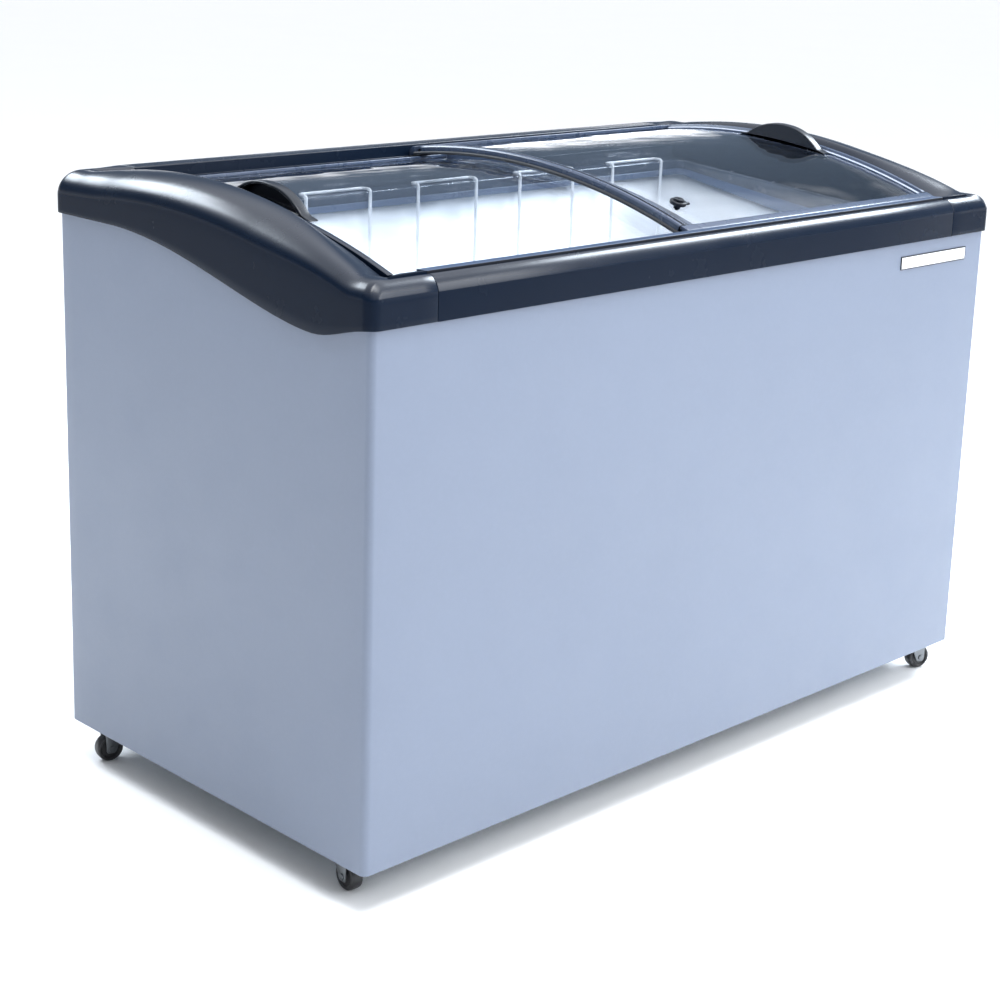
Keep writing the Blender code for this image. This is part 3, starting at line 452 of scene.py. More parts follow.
def add_turned(bm, profile, matrix, seg=40, mat_index=0, cap_start=True, cap_end=True):
    rings = [[matrix @ p for p in ring] for ring in turned_rings(profile, seg)]
    skin(bm, rings, True, cap_start, cap_end, mat_index)


def add_tube(bm, pts, r, seg=10, closed=False, mat_index=0):
    """A round tube along points, with a domed end cap where it is open."""
    pts = [Vector(p) for p in pts]
    m = len(pts)
    tangents = []
    for i in range(m):
        a = pts[i - 1] if (i or closed) else pts[i]
        b = pts[(i + 1) % m] if (i < m - 1 or closed) else pts[i]
        tangents.append((b - a).normalized())
    up = Vector((0, 0, 1)) if abs(tangents[0].z) < 0.9 else Vector((1, 0, 0))
    nrm = (up - tangents[0] * up.dot(tangents[0])).normalized()
    rings = []
    for i in range(m):
        t = tangents[i]
        nrm = (nrm - t * nrm.dot(t)).normalized()
        bi = t.cross(nrm)
        stretch = 1.0
        rings.append([pts[i] + (nrm * math.cos(2 * math.pi * k / seg) + bi * math.sin(2 * math.pi * k / seg)) * r * stretch for k in range(seg)])
    if closed:
        rows = [[bm.verts.new(p) for p in ring] for ring in rings]
        for a, b in zip(rows, rows[1:] + rows[:1]):
            for i in range(seg):
                bm.faces.new((a[i], a[(i + 1) % seg], b[(i + 1) % seg], b[i])).material_index = mat_index
        return
    t0, t1 = tangents[0], tangents[-1]
    c0, c1 = pts[0], pts[-1]
    start = [[c0 + (p - c0) * math.cos(a) - t0 * r * math.sin(a) * 0.6 for p in rings[0]] for a in (math.radians(80), math.radians(50), math.radians(25))]
    end = [[c1 + (p - c1) * math.cos(a) + t1 * r * math.sin(a) * 0.6 for p in rings[-1]] for a in (math.radians(25), math.radians(50), math.radians(80))]
    skin(bm, start + rings + end, mat_index=mat_index)


def bend(pts, r, n=6):
    """A 3-D polyline with its corners rounded to radius r."""
    out = [Vector(pts[0])]
    for a, b, c in zip(pts, pts[1:], pts[2:]):
        a, b, c = Vector(a), Vector(b), Vector(c)
        u, v = (a - b).normalized(), (c - b).normalized()
        half = math.acos(max(-1, min(1, u.dot(v)))) / 2
        if half > math.radians(88):
            out.append(b)
            continue
        t = min(r / math.tan(half), (a - b).length * 0.49, (c - b).length * 0.49)
        rad = t * math.tan(half)
        centre = b + (u + v).normalized() * (rad / math.sin(half))
        p0, p1 = b + u * t - centre, b + v * t - centre
        ang = p0.angle(p1)
        axis = p0.cross(p1).normalized()
        for k in range(n + 1):
            out.append(centre + Matrix.Rotation(ang * k / n, 3, axis) @ p0)
    out.append(Vector(pts[-1]))
    return out


def add_block(bm, lo, hi, r=0.001, n=2, matrix=None, mat_index=0):
    """A box with rounded edges, made of rounded rectangles stacked along Z."""
    x0, y0, z0 = lo
    x1, y1, z1 = hi
    r = min(r, (x1 - x0) * 0.45, (y1 - y0) * 0.45, (z1 - z0) * 0.45)
    base = fillet([(x0, y0), (x1, y0), (x1, y1), (x0, y1)], r, 3)
    rings = [[Vector((q.x, q.y, z0 + d)) for q in inset(base, i)] for d, i in end_steps(r, n)]
    rings += [[Vector((q.x, q.y, z1 - d)) for q in inset(base, i)] for d, i in reversed(end_steps(r, n))]
    if matrix is not None:
        rings = [[matrix @ p for p in ring] for ring in rings]
    skin(bm, rings, mat_index=mat_index)


# ================================================================ cabinet shell
def wrapper_plan(n=14):
    pts = [(-W2 + FLANGE, D2)]
    for k in range(7):
        a = math.pi / 2 + k / 6 * math.pi / 2
        pts.append((-W2 + FLANGE_R + FLANGE_R * math.cos(a), D2 - FLANGE_R + FLANGE_R * math.sin(a)))
    pts += [(-W2, y) for y in (0.300, 0.260, 0.230, 0.200, 0.170, 0.140, 0.110, 0.080, 0.050, 0.020, -0.080, -0.180, -0.260)]
    for k in range(n + 1):
        a = math.pi + k / n * math.pi / 2
        pts.append((-W2 + CORNER_R + CORNER_R * math.cos(a), -D2 + CORNER_R + CORNER_R * math.sin(a)))
    half = pts + [(mix(-W2 + CORNER_R, 0, k / 6), -D2) for k in range(1, 6)]
    return half + [(0, -D2)] + [(-x, y) for x, y in reversed(half)]


def make_wrapper():
    plan = [Vector(p) for p in wrapper_plan()]
    normals = []
    for i, p in enumerate(plan):
        a = plan[max(0, i - 1)]
        b = plan[min(len(plan) - 1, i + 1)]
        t = (b - a).normalized()
        normals.append(Vector((t.y, -t.x)))          # points out of the cabinet
    th = 0.0015
    rows = []
    # from the inner face at the top, over the top edge, down the outside, round the bottom hem, up the inside
    def row(off, z_of):
        return [Vector((p.x + n.x * off, p.y + n.y * off, z_of(p))) for p, n in zip(plan, normals)]
    rows.append(row(-th, lambda p: sheet_top(p.x, p.y) - 0.0002))
    rows.append(row(-0.0003, lambda p: sheet_top(p.x, p.y)))
    rows.append(row(0.0, lambda p: sheet_top(p.x, p.y) - 0.0003))
    for t in (0.75, 0.5, 0.25):
        rows.append(row(0.0, lambda p, t=t: mix(Z_BASE, body_top(p.y), t)))
    for k in range(5):
        a = math.radians(90) * k / 4
        rows.append(row(-0.0012 * (1 - math.cos(a)), lambda p, a=a: Z_BASE + 0.0012 * (1 - math.sin(a))))
    rows.append(row(-th, lambda p: Z_BASE))
    bm = bmesh.new()
    vs = [[bm.verts.new(p) for p in r] for r in rows]
    m, c = len(vs), len(vs[0])
    for i in range(m):
        a, b = vs[i], vs[(i + 1) % m]
        for j in range(c - 1):
            bm.faces.new((a[j], a[j + 1], b[j + 1], b[j]))
    bm.faces.new([r[0] for r in vs])
    bm.faces.new([r[-1] for r in vs][::-1])
    finish_piece("cabinet_shell", bm, "cabinet_paint", "cabinet", ("outer_wrapper",), 35)


make_wrapper()


# ================================================================ liner and collar
def rounded_rect(x0, x1, y0, y1, r, n=6):
    return fillet([(x0, y0), (x1, y0), (x1, y1), (x0, y1)], r, n)


def make_liner():
    bm = bmesh.new()
    x1, y0, y1 = LINER_X, LINER_Y0, LINER_Y1
    outline = [(-x1, LINER_Z0), (STEP_X, LINER_Z0), (STEP_X, STEP_Z), (x1, STEP_Z), (x1, 0.9), (-x1, 0.9)]
    a = [bm.verts.new((x, y0, z)) for x, z in outline]
    b = [bm.verts.new((x, y1, z)) for x, z in outline]
    bm.faces.new(a)
    bm.faces.new(b[::-1])
    for i in range(len(outline)):
        if i == 4:
            continue                                   # open at the top
        j = (i + 1) % len(outline)
        bm.faces.new((a[i], a[j], b[j], b[i]))
    bmesh.ops.recalc_face_normals(bm, faces=bm.faces)
    rim = [e for e in bm.edges if e.is_boundary]
    bmesh.ops.bevel(bm, geom=[e for e in bm.edges if e not in rim], offset=0.012, segments=5, profile=0.5, affect="EDGES")
    for v in bm.verts:
        if v.co.z > 0.85:
            v.co.z = collar_foot(v.co.y) - 0.0003
    bmesh.ops.recalc_face_normals(bm, faces=bm.faces)
    me = bpy.data.meshes.new("liner_tub")
    bm.to_mesh(me)
    bm.free()
    # inner faces look in: the sheet's thickness goes outwards
    up_faces = [p for p in me.polygons if p.center.z < LINER_Z0 + 0.001]
    if up_faces and up_faces[0].normal.z < 0:
        me.flip_normals()
    ob = bpy.data.objects.new("liner_tub", me)
    bpy.context.scene.collection.objects.link(ob)
    s = ob.modifiers.new("sheet", "SOLIDIFY")
    s.thickness, s.offset, s.use_even_offset = 0.0012, -1.0, True
    me.shade_smooth()
    me.materials.append(MATS["liner_white"])
    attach(ob, "cabinet")
    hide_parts("inner_liner")


make_liner()


def ring_loft(name, rings, mat, body, stands_for, sharp=35):
    """Rounded rectangles with heights that follow y, joined in order into one closed ring of material."""
    bm = bmesh.new()
    rows = []
    for x0, x1, y0, y1, r, zf in rings:
        rows.append([bm.verts.new((q.x, q.y, zf(q.y))) for q in rounded_rect(x0, x1, y0, y1, r, 6)])
    m, c = len(rows), len(rows[0])
    for i in range(m):
        a, b = rows[i], rows[(i + 1) % m]
        for j in range(c):
            k = (j + 1) % c
            bm.faces.new((a[j], a[k], b[k], b[j]))
    return finish_piece(name, bm, mat, body, stands_for, sharp)


def make_collar():
    ox, oy0, oy1 = 0.600, -0.290, 0.300          # flange
    ix, iy0, iy1 = 0.564, -0.222, 0.244          # opening
    wx, wy0, wy1 = 0.5725, -0.2475, 0.2525       # outside of the wall
    def top(y): return body_top(y) + 0.0025
    def under(y): return body_top(y) + 0.0003
    def foot(y): return collar_foot(y)
    rings = [(-ox, ox, oy0, oy1, 0.010, under), (-ox, ox, oy0, oy1, 0.010, lambda y: top(y) - 0.0004),
             (-ox + 0.0004, ox - 0.0004, oy0 + 0.0004, oy1 - 0.0004, 0.010, top)]
    for k in range(6):                           # rounded inner lip
        a = math.radians(90) * k / 5
        d = 0.0035 * (1 - math.sin(a))
        rings.append((-ix - d, ix + d, iy0 - d, iy1 + d, 0.012 + d, lambda y, a=a: top(y) - 0.0035 * (1 - math.cos(a))))
    rings.append((-ix, ix, iy0, iy1, 0.012, lambda y: mix(foot(y), top(y), 0.50)))
    # a shallow drip groove splits the face into a dark upper and a paler lower part
    rings.append((-ix - 0.0012, ix + 0.0012, iy0 - 0.0012, iy1 + 0.0012, 0.012, lambda y: mix(foot(y), top(y), 0.46)))
    rings.append((-ix - 0.0012, ix + 0.0012, iy0 - 0.0012, iy1 + 0.0012, 0.012, lambda y: mix(foot(y), top(y), 0.42)))
    rings.append((-ix, ix, iy0, iy1, 0.012, lambda y: mix(foot(y), top(y), 0.38)))
    rings.append((-ix, ix, iy0, iy1, 0.012, lambda y: foot(y) + 0.0010))
    rings.append((-ix - 0.0010, ix + 0.0010, iy0 - 0.0010, iy1 + 0.0010, 0.013, foot))
    rings.append((-wx, wx, wy0, wy1, 0.010, foot))
    rings.append((-wx, wx, wy0, wy1, 0.010, under))
    ob = ring_loft("breaker_ring", rings, ["collar_plastic", "collar_pale"], "cabinet", ("breaker_collar",))
    for f in ob.data.polygons:
        c = f.center
        if abs(c.x) < ix + 0.002 and iy0 - 0.002 < c.y < iy1 + 0.002 and c.z < mix(foot(c.y), top(c.y), 0.44):
            f.material_index = 1
    # the two webs that carry the tracks
    for tag, y0, y1, z1 in (("front", -0.2730, -0.2700, 0.7770), ("rear", 0.2680, 0.2710, 0.8300)):
        bm = bmesh.new()
        out = fillet([(y0, body_top(y0) + 0.0026), (y1, body_top(y1) + 0.0026), (y1, z1), (y0, z1)], 0.0008, 3)
        rings = [[Vector((x, q.x, q.y)) for q in out] for x in (-0.570, -0.2, 0.2, 0.570)]
        skin(bm, rings)
        finish_piece("collar_web_" + tag, bm, "collar_plastic", "cabinet")


make_collar()


# ================================================================ top frame
def band(a0, rh, rv, n=14):
    out = []
    for k in range(1, n + 1):
        a = mix(a0, math.pi / 2, k / n)
        out.append((rh * (math.cos(a0) - math.cos(a)) / math.cos(a0), rv * (math.sin(a) - math.sin(a0)) / (1 - math.sin(a0))))
    return out


FRONT_A0, FRONT_RH, FRONT_RV, FRONT_CREASE = math.radians(30), 0.018, 0.0195, 0.7905


def shell(line, t, radii):
    """An open (y, z) line with rounded corners, thickened by t on its right-hand side."""
    pts = fillet(line, radii, 4, closed=False)
    inner = []
    for i, p in enumerate(pts):
        dirs = []
        if i:
            dirs.append((p - pts[i - 1]).normalized())
        if i < len(pts) - 1:
            dirs.append((pts[i + 1] - p).normalized())
        nn = sum([Vector((d.y, -d.x)) for d in dirs], Vector((0, 0))).normalized()
        k = max(0.5, nn.dot(Vector((dirs[0].y, -dirs[0].x))))
        inner.append(p + nn * (t / k))
    return pts + inner[::-1]


def make_rails():
    line = [(YF, 0.754), (YF, FRONT_CREASE)]
    radii = [0, 0.0022]
    shoulder = [(YF + u, FRONT_CREASE + v) for u, v in band(FRONT_A0, FRONT_RH, FRONT_RV)]
    line += shoulder
    radii += [0] * (len(shoulder) - 1) + [0.0012]
    line += [(-0.317, 0.8065), (-0.3135, 0.8065), (-0.3135, 0.8130), (YFI, 0.8120), (YFI, 0.7925),
             (-0.2835, 0.7925), (-0.2835, 0.7800), (-0.2655, 0.7800), (-0.2655, 0.7750)]
    radii += [0.0006, 0.0006, 0.0011, 0.0012, 0.0008, 0.0010, 0.0008, 0.0010, 0]
    ob = prism("front_rail_moulding", shell(line, 0.0024, radii), -SEAM_X + 0.0004, SEAM_X - 0.0004, ["frame_plastic", "track_strip", "shadow_line"],
               "cabinet", ("front_rail",), e=0.0007, mids=[-0.3, 0.0, 0.3], sharp=28)
    for f in ob.data.polygons:
        c = f.center
        if -0.3174 < c.y < -0.3131 and 0.8050 < c.z < 0.8126:
            f.material_index = 2
        elif c.y > -0.3136 and c.z > 0.8085:
            f.material_index = 1
    line = [(YR, 0.808), (YR, 0.8545)] + [(YR - u, 0.8545 + v) for u, v in band(0.0, 0.014, 0.012, 10)]
    radii = [0] * len(line)
    line += [(YRI, 0.8665), (YRI, 0.8485), (0.279, 0.8485), (0.279, 0.8335), (0.262, 0.8335), (0.262, 0.8290)]
    radii += [0.0016, 0.0008, 0.0012, 0.0008, 0.0012, 0]
    line = [(-y, z) for y, z in line]
    out = [Vector((-p.x, p.y)) for p in shell(line, 0.0024, radii)]
    prism("rear_rail_moulding", out, -SEAM_X + 0.0004, SEAM_X - 0.0004, "frame_plastic", "cabinet", ("rear_rail",),
          e=0.0007, mids=[-0.3, 0.0, 0.3], sharp=28)


make_rails()


def cap_stations():
    ro_r, ro_f, ri = FLANGE_R + CAP, CORNER_R + CAP, 0.004
    st = []
    for k in range(9):
        t = k / 9
        st.append(((mix(SEAM_X, XO - ro_r, t), YR), (mix(SEAM_X, XI - ri, t), YRI), 1 - smooth(t), 0.0))
    for k in range(13):
        a = math.radians(90 - 90 * k / 12)
        st.append(((XO - ro_r + ro_r * math.cos(a), YR - ro_r + ro_r * math.sin(a)),
                   (XI - ri + ri * math.cos(a), YRI - ri + ri * math.sin(a)), 0.0, 0.0))
    ya, yb, ia, ib = YR - ro_r, YF + ro_f, YRI - ri, YFI + ri
    for k in range(1, 56):
        t = k / 56
        st.append(((XO, mix(ya, yb, t)), (XI, mix(ia, ib, t)), 0.0, 0.0))
    for k in range(21):
        a = math.radians(-90 * k / 20)
        st.append(((XO - ro_f + ro_f * math.cos(a), YF + ro_f + ro_f * math.sin(a)),
                   (XI - ri + ri * math.cos(a), YFI + ri + ri * math.sin(a)), 0.0, smooth(k / 20)))
    for t in (0.25, 0.5, 0.75, 1.0):
        st.append(((mix(XO - ro_f, SEAM_X, t), YF), (mix(XI - ri, SEAM_X, t), YFI), 0.0, 1.0))
    return st


def cap_section(o, i, rs, fs):
    """Points across a cap at one station, as (distance in from the outside, height), and where that is in plan."""
    o, i = Vector(o), Vector(i)
    w = (i - o).length
    d = (i - o) / w
    y = o.y
    skirt_t = mix(CAP, LIP, max(abs(d.y) ** 2, rs, fs)) - 0.0005
    top = crown(max(-0.292, min(0.300, y)))
    top = mix(mix(top, 0.8665, rs), FRONT_CREASE + FRONT_RV, fs)
    low = mix(skirt(y) if y < 0.2 else 0.808, 0.754, fs)
    a0 = FRONT_A0 * fs
    rear_turn = smooth((y - 0.22) / 0.10)
    near = 0.75 * smooth((-0.09 - y) / 0.21)          # the shoulder tightens towards the front corner
    rh = mix(mix(mix(0.058, 0.034, rear_turn), 0.014, rs), FRONT_RH, near)
    if y < -0.1:                                      # the side and front ridges meet in a mitre
        side_u = (rh - (XO - o.x)) / abs(d.x) if abs(d.x) > 0.05 else 0.0
        front_u = (FRONT_RH - (y - YF)) / abs(d.y) if abs(d.y) > 0.05 else 0.0
        rh = min(max(side_u, front_u, 0.012), w * 0.75)
    near += (1 - near) * fs
    rv = mix(mix(mix(0.040, 0.034, rear_turn), 0.012, rs), FRONT_RV, near)
    drop = mix(mix(0.012, 0.0005, rs), 0.002, fs)
    ease = 0.0008
    pts = [(ease, low), (ease * 0.3, low + ease * 0.3), (0.0, low + ease)]
    for t in (0.2, 0.4, 0.6, 0.8):
        pts.append((0.0, mix(low + ease, top - rv, t)))
    pts.append((0.0, top - rv))
    pts += [(u, top - rv + v) for u, v in band(a0, rh, rv, 16)]
    # a groove behind the shoulder, carried on from the front rail
    gs = smooth((fs - 0.80) / 0.20)
    gd, lift = 0.0050 * gs, 0.0028 * gs
    pts += [(rh + 0.0003, top - gd * 0.96), (rh + 0.0032, top - gd), (rh + 0.0036, top + lift)]
    # over the ridge and down the inner slope, smooth as far as the inner lip
    for t in (0.15, 0.3, 0.45, 0.6, 0.75, 0.88):
        u = mix(rh + 0.0036, w - 0.0030, t)
        pts.append((u, top - drop * (t ** 1.6) + lift * (1 - 0.3 * t)))
    pts += [(w - 0.0022, top - drop), (w - 0.0009, top - drop - 0.0006), (w - 0.0002, top - drop - 0.0016), (w, top - drop - 0.0030)]
    pts += [(w, mix(top - drop, body_top(i.y), 0.5)), (w, body_top(i.y) + 0.0028)]
    th = 0.0032
    back = []
    n = len(pts)
    for k, (u, z) in enumerate(pts):
        if k <= 7:
            back.append((max(skirt_t, 0.0), z if k == 0 else z - 0.0004))
        elif k >= n - 2:
            back.append((w - th, z))
        elif k >= n - 6:
            back.append((w - th - 0.0004 * (n - 3 - k), z - th * 0.8 - 0.0006 * (n - 3 - k)))
        else:
            back.append((max(skirt_t, mix(skirt_t, w - th * 1.8, min(1.0, u / (w - 0.003)))), z - th))
    return [(o + d * u, z) for u, z in pts] + [(o + d * u, z) for u, z in back[::-1]]


def make_cap(name, sx, node):
    bm = bmesh.new()
    stations = cap_stations()
    rings = [[Vector((sx * p.x, p.y, z)) for p, z in cap_section(*s)] for s in stations]

    def ended(ring, dx):
        c = [p.copy() for p in ring]
        m = len(ring)
        flat = [Vector((p.y, p.z)) for p in ring]
        ins = inset(flat, dx)
        return [Vector((p.x, q.x, q.y)) for p, q in zip(c, ins)]
    # eased ends at both seams
    first, last = rings[0], rings[-1]
    e = 0.0007
    start, stop = [], []
    for dd, ii in end_steps(e):
        start.append([Vector((q.x + sx * dd * 1.0, q.y, q.z)) for q in ended(first, ii)])
        stop.append([Vector((q.x + sx * dd * 1.0, q.y, q.z)) for q in ended(last, ii)])
    rings = start + rings[1:-1] + stop[::-1]
    # keep a hair's gap to the rails
    for r in rings[:len(start)] + rings[-len(stop):]:
        for p in r:
            p.x += sx * 0.0002
    skin(bm, rings)
    return finish_piece(name, bm, "frame_plastic", "cabinet", (node,), 30)


make_cap("left_cap_moulding", -1, "left_end_cap")
make_cap("right_cap_moulding", 1, "right_end_cap")


# ================================================================ lids
def bar_section(x0, x1, h0, h1, shape):
    """Closed (x, h) section of a lid profile; h is negative below the arc."""
    if shape == "plain":
        return fillet([(x0, h0), (x1, h0), (x1, h1), (x0, h1)], 0.0012, 4)
    pts = [(mix(x0, x1, u), mix(h0, h1, v)) for u, v in shape]
    return fillet(pts, 0.0010, 4)


def lid_frame(side):
    left = side == "left"
    body = side + "_lid"
    x0, x1 = (LEFT_X0, LEFT_X1) if left else (RIGHT_X0, RIGHT_X1)
    y0, y1, yi0, yi1 = (-0.282, 0.278, -0.269, 0.263) if left else (-0.2925, 0.291, -0.2715, 0.266)
    top, bot, gl = (LO_TOP, LO_BOT, LO_GLASS) if left else (UP_TOP, UP_BOT, UP_GLASS)
    # runners along the front and the back, with a rebate where the glass sits
    for tag, a, b in (("front", y0, yi0), ("rear", yi1, y1)):
        s = 1 if tag == "front" else -1
        outer, inner = (a, b) if tag == "front" else (b, a)

        def z(y, d):
            return crown(y) - d
        pts = [(outer, z(outer, bot)), (outer, z(outer, top)), (inner, z(inner, top)),
               (inner, z(inner, gl) + 0.0002), (inner - s * 0.0035, z(inner, gl) + 0.0002), (inner - s * 0.0035, z(inner, gl + 0.0046)),
               (inner, z(inner, gl + 0.0046)), (inner, z(inner, bot))]
        rr = [0.0012, 0.0026, 0.0012, 0.0004, 0.0004, 0.0004, 0.0006, 0.0012]
        if not left:
            # the upper lid's runners have a sloping nose
            pts[1:2] = [(outer, z(outer, top) - 0.0062), (outer + s * 0.0075, z(outer + s * 0.0075, top))]
            rr[1:2] = [0.0020, 0.0040]
        out = fillet(pts, rr, 4)
        prism("%s_%s_runner" % (body, tag), out, x0, x1, "lid_profile", body,
              ("%s_%s_profile" % (body, tag),), e=0.0008, mids=[mix(x0, x1, 0.5)])
    ya, yb = yi0 + 0.0003, yi1 - 0.0003
    h0, h1 = -bot, -top
    if left:
        # the outer profile gets the darker frame plastic instead of the lid profile colour: painted shade, the dark
        # line beside the end cap
        along_arc("left_lid_outer_edge", bar_section(x0, x0 + 0.010, h0, h1, "plain"), ya, yb, "frame_plastic", body,
                  ("left_lid_outer_profile",))
        along_arc("left_lid_inner_edge", bar_section(x1 - 0.010, x1, h0, h1, "plain"), ya, yb, "lid_profile", body,
                  ("left_lid_inner_profile",))
        gx0, gx1 = x0 + 0.0103, x1 - 0.0103
    else:
        shape = [(0.0, 0.0), (1.0, 0.0), (1.0, 0.72), (0.86, 0.80), (0.70, 1.0), (0.56, 1.0), (0.50, 0.90), (0.42, 0.90), (0.34, 1.0), (0.10, 0.96), (0.0, 0.80)]
        ob = along_arc("right_lid_bar", bar_section(x0, x0 + 0.018, h0, h1, shape), ya, yb, ["lid_profile", "bar_painted_highlight", "shadow_line"], body,
                       ("right_lid_centre_bar",), n=56)
        # the upward faces on the bar's right get the pale material, a painted highlight line; the dark band beside them
        # gets shadow_line, painted shade
        for f in ob.data.polygons:
            if f.center.x > x0 + 0.0118 and f.normal.z > 0.5:
                f.material_index = 1
            elif x0 + 0.0066 < f.center.x < x0 + 0.0104 and f.normal.z > -0.5:
                f.material_index = 2
        seal = fillet([(x0 - 0.0034, h0 + 0.0002), (x0 - 0.0004, h0 + 0.0002), (x0 - 0.0004, h0 + 0.0052), (x0 - 0.0020, h0 + 0.0052), (x0 - 0.0034, h0 + 0.0036)], 0.0005, 3)
        along_arc("right_lid_wiper", seal, -0.281, 0.280, "seal_rubber", body, ("right_lid_bar_seal",), n=56)
        shape = [(0.0, 0.0), (1.0, 0.0), (1.0, 0.90), (0.90, 1.0), (0.42, 1.0), (0.30, 0.72), (0.0, 0.66)]
        ob = along_arc("right_lid_outer_edge", bar_section(x1 - 0.012, x1, h0, h1, shape), ya, yb, ["lid_profile", "bar_painted_highlight"], body,
                       ("right_lid_outer_profile",), n=56)
        # the upward faces along its inner side get the pale material, a painted highlight line
        for f in ob.data.polygons:
            if f.center.x < x1 - 0.0085 and f.normal.z > 0.4:
                f.material_index = 1
        gx0, gx1 = x0 + 0.0183, x1 - 0.0123
    # bent glass with polished edges
    sec = fillet([(gx0, -gl - 0.004), (gx1, -gl - 0.004), (gx1, -gl), (gx0, -gl)], 0.0008, 3)
    # extra points across the width keep the pane's quads even
    dense = []
    for i, p in enumerate(sec):
        q = sec[(i + 1) % len(sec)]
        dense.append(p)
        if (q - p).length > 0.1:
            dense += [p.lerp(q, k / 12) for k in range(1, 12)]
    along_arc("%s_pane" % body, dense, ya, yb, "lid_glass", body, ("%s_glass" % body,), e=0.0006, n=64, sharp=40)


lid_frame("left")
lid_frame("right")

HANDLE_Y, HANDLE_HALF, HANDLE_H, HANDLE_W = -0.002, 0.077, 0.0279, 0.016


def make_handle(name, x0, x1, depth, pocket_low, body, node):
    """A half-moon grip: a rounded rim, a thin back plate and a finger pocket, on two flat feet."""
    n = 44
    foot = 0.012

    def outline(half, top, base, tab):
        pts = [Vector((HANDLE_Y - half - tab, base)), Vector((HANDLE_Y - half - tab * 0.92, base + 0.0016 if tab > 0.001 else base + 0.0002)),
               Vector((HANDLE_Y - half - tab * 0.35, base + 0.0023 if tab > 0.001 else base + 0.0004))]
        for k in range(n + 1):
            u = -1 + 2 * k / n
            h = top * (1 - abs(u) ** 2.3)
            lift = 0.0026 if tab > 0.001 else 0.0006
            pts.append(Vector((HANDLE_Y + half * u, base + max(lift, (h ** 3 + lift ** 3) ** (1 / 3)))))
        pts += [Vector((HANDLE_Y + half + tab * 0.35, base + 0.0023 if tab > 0.001 else base + 0.0004)),
                Vector((HANDLE_Y + half + tab * 0.92, base + 0.0016 if tab > 0.001 else base + 0.0002)), Vector((HANDLE_Y + half + tab, base))]
        pts += [Vector((mix(HANDLE_Y + half, HANDLE_Y - half, k / 20), base)) for k in range(21)]
        return pts
    out = outline(HANDLE_HALF, HANDLE_H, 0.0003, foot)
    hole = outline(HANDLE_HALF - 0.012, HANDLE_H - 0.0072, 0.0034, 0.0008)
    rings = []

    def ring(flat, d):
        x = x0 + d if pocket_low else x1 - d
        return [on_arc(x, q.x, q.y, depth) for q in flat]
    w, web = x1 - x0, 0.0035
    e = 0.0020
    rings.append(ring(inset(hole, 0.0008), w - web))
    rings.append(ring(hole, w - web - 0.0008))
    rings.append(ring(hole, 0.0012))
    rings.append(ring(inset(hole, -0.0006), 0.0004))
    rings.append(ring(inset(hole, -0.0016), 0.0))
    for d, i in end_steps(e, 4):
        rings.append(ring(inset(out, i), d))
    rings.append(ring(out, w * 0.5))
    for d, i in reversed(end_steps(e, 4)):
        rings.append(ring(inset(out, i), w - d))
    bm = bmesh.new()
    skin(bm, rings)
    finish_piece(name, bm, "black_plastic", body, (node,), 35)


make_handle("left_grip", -0.545, -0.545 + HANDLE_W, LO_GLASS, True, "left_lid", "left_lid_handle")
make_handle("right_grip", 0.545 - HANDLE_W, 0.545, UP_GLASS, False, "right_lid", "right_lid_handle")

LOCK_X, LOCK_Y = 0.035, -0.205


def lock_frame():
    return Matrix.Translation(on_arc(LOCK_X, LOCK_Y, 0, UP_GLASS)) @ normal_at(LOCK_Y).to_track_quat("Z", "Y").to_matrix().to_4x4()


def make_lock():
    m = lock_frame()
    bm = bmesh.new()
    prof = [(0.0031, 0.0024), (0.0078, 0.0026), (0.0079, 0.0053), (0.0084, 0.0060), (0.0108, 0.0061), (0.0118, 0.0057), (0.0125, 0.0047),
            (0.0125, 0.0014), (0.0121, 0.0006), (0.0112, 0.0003), (0.0052, 0.0003), (0.0050, -0.0055), (0.0045, -0.0062), (0.0031, -0.0062)]
    rings = [[m @ p for p in ring] for ring in turned_rings(prof, 48)]
    rows = [[bm.verts.new(p) for p in r] for r in rings]
    for a, b in zip(rows, rows[1:] + rows[:1]):
        for i in range(48):
            bm.faces.new((a[i], a[(i + 1) % 48], b[(i + 1) % 48], b[i]))
    n = normal_at(LOCK_Y)
    side = Matrix.Translation(on_arc(LOCK_X, LOCK_Y, 0, UP_GLASS)) @ Matrix.Rotation(math.atan2(n.z, n.y) - math.pi / 2, 4, "X")
    for dy in (-0.006, 0.006):
        add_block(bm, (0.0098, dy - 0.0021, 0.0009), (0.0174, dy + 0.0021, 0.0043), 0.0008, 3, side)
    finish_piece("lock_housing", bm, "black_plastic", "right_lid", ("lock_body",), 35)
    bm = bmesh.new()
    slot_w, slot_l = 0.0008, 0.0030
    prof = [(0.0026, -0.0080), (0.0026, 0.0062), (0.0068, 0.0064), (0.0075, 0.0069), (0.0075, 0.0084), (0.0071, 0.0090), (0.0060, 0.0092)]
    rings = [[m @ p for p in ring] for ring in turned_rings(prof, 48)]
    # the face closes onto a keyway
    top, key = [], []
    for k in range(48):
        a = 2 * math.pi * k / 48
        c, s = math.cos(a), math.sin(a)
        scale = min(slot_l / max(1e-6, abs(c)), slot_w / max(1e-6, abs(s)))
        top.append(m @ Vector((c * scale, s * scale, 0.0092)))
        key.append(m @ Vector((c * scale, s * scale, 0.0076)))
    rings += [top, key]
    skin(bm, rings)
    finish_piece("lock_button", bm, "black_plastic", "lock", ("lock_plunger",), 35)


make_lock()


# ================================================================ wire baskets
REAR_HOOK_Z = body_top(0.2590) + 0.0025 + WIRE_R + 0.0003
FRONT_HOOK_Z = body_top(-0.2220) + 0.0025 + WIRE_R + 0.0003


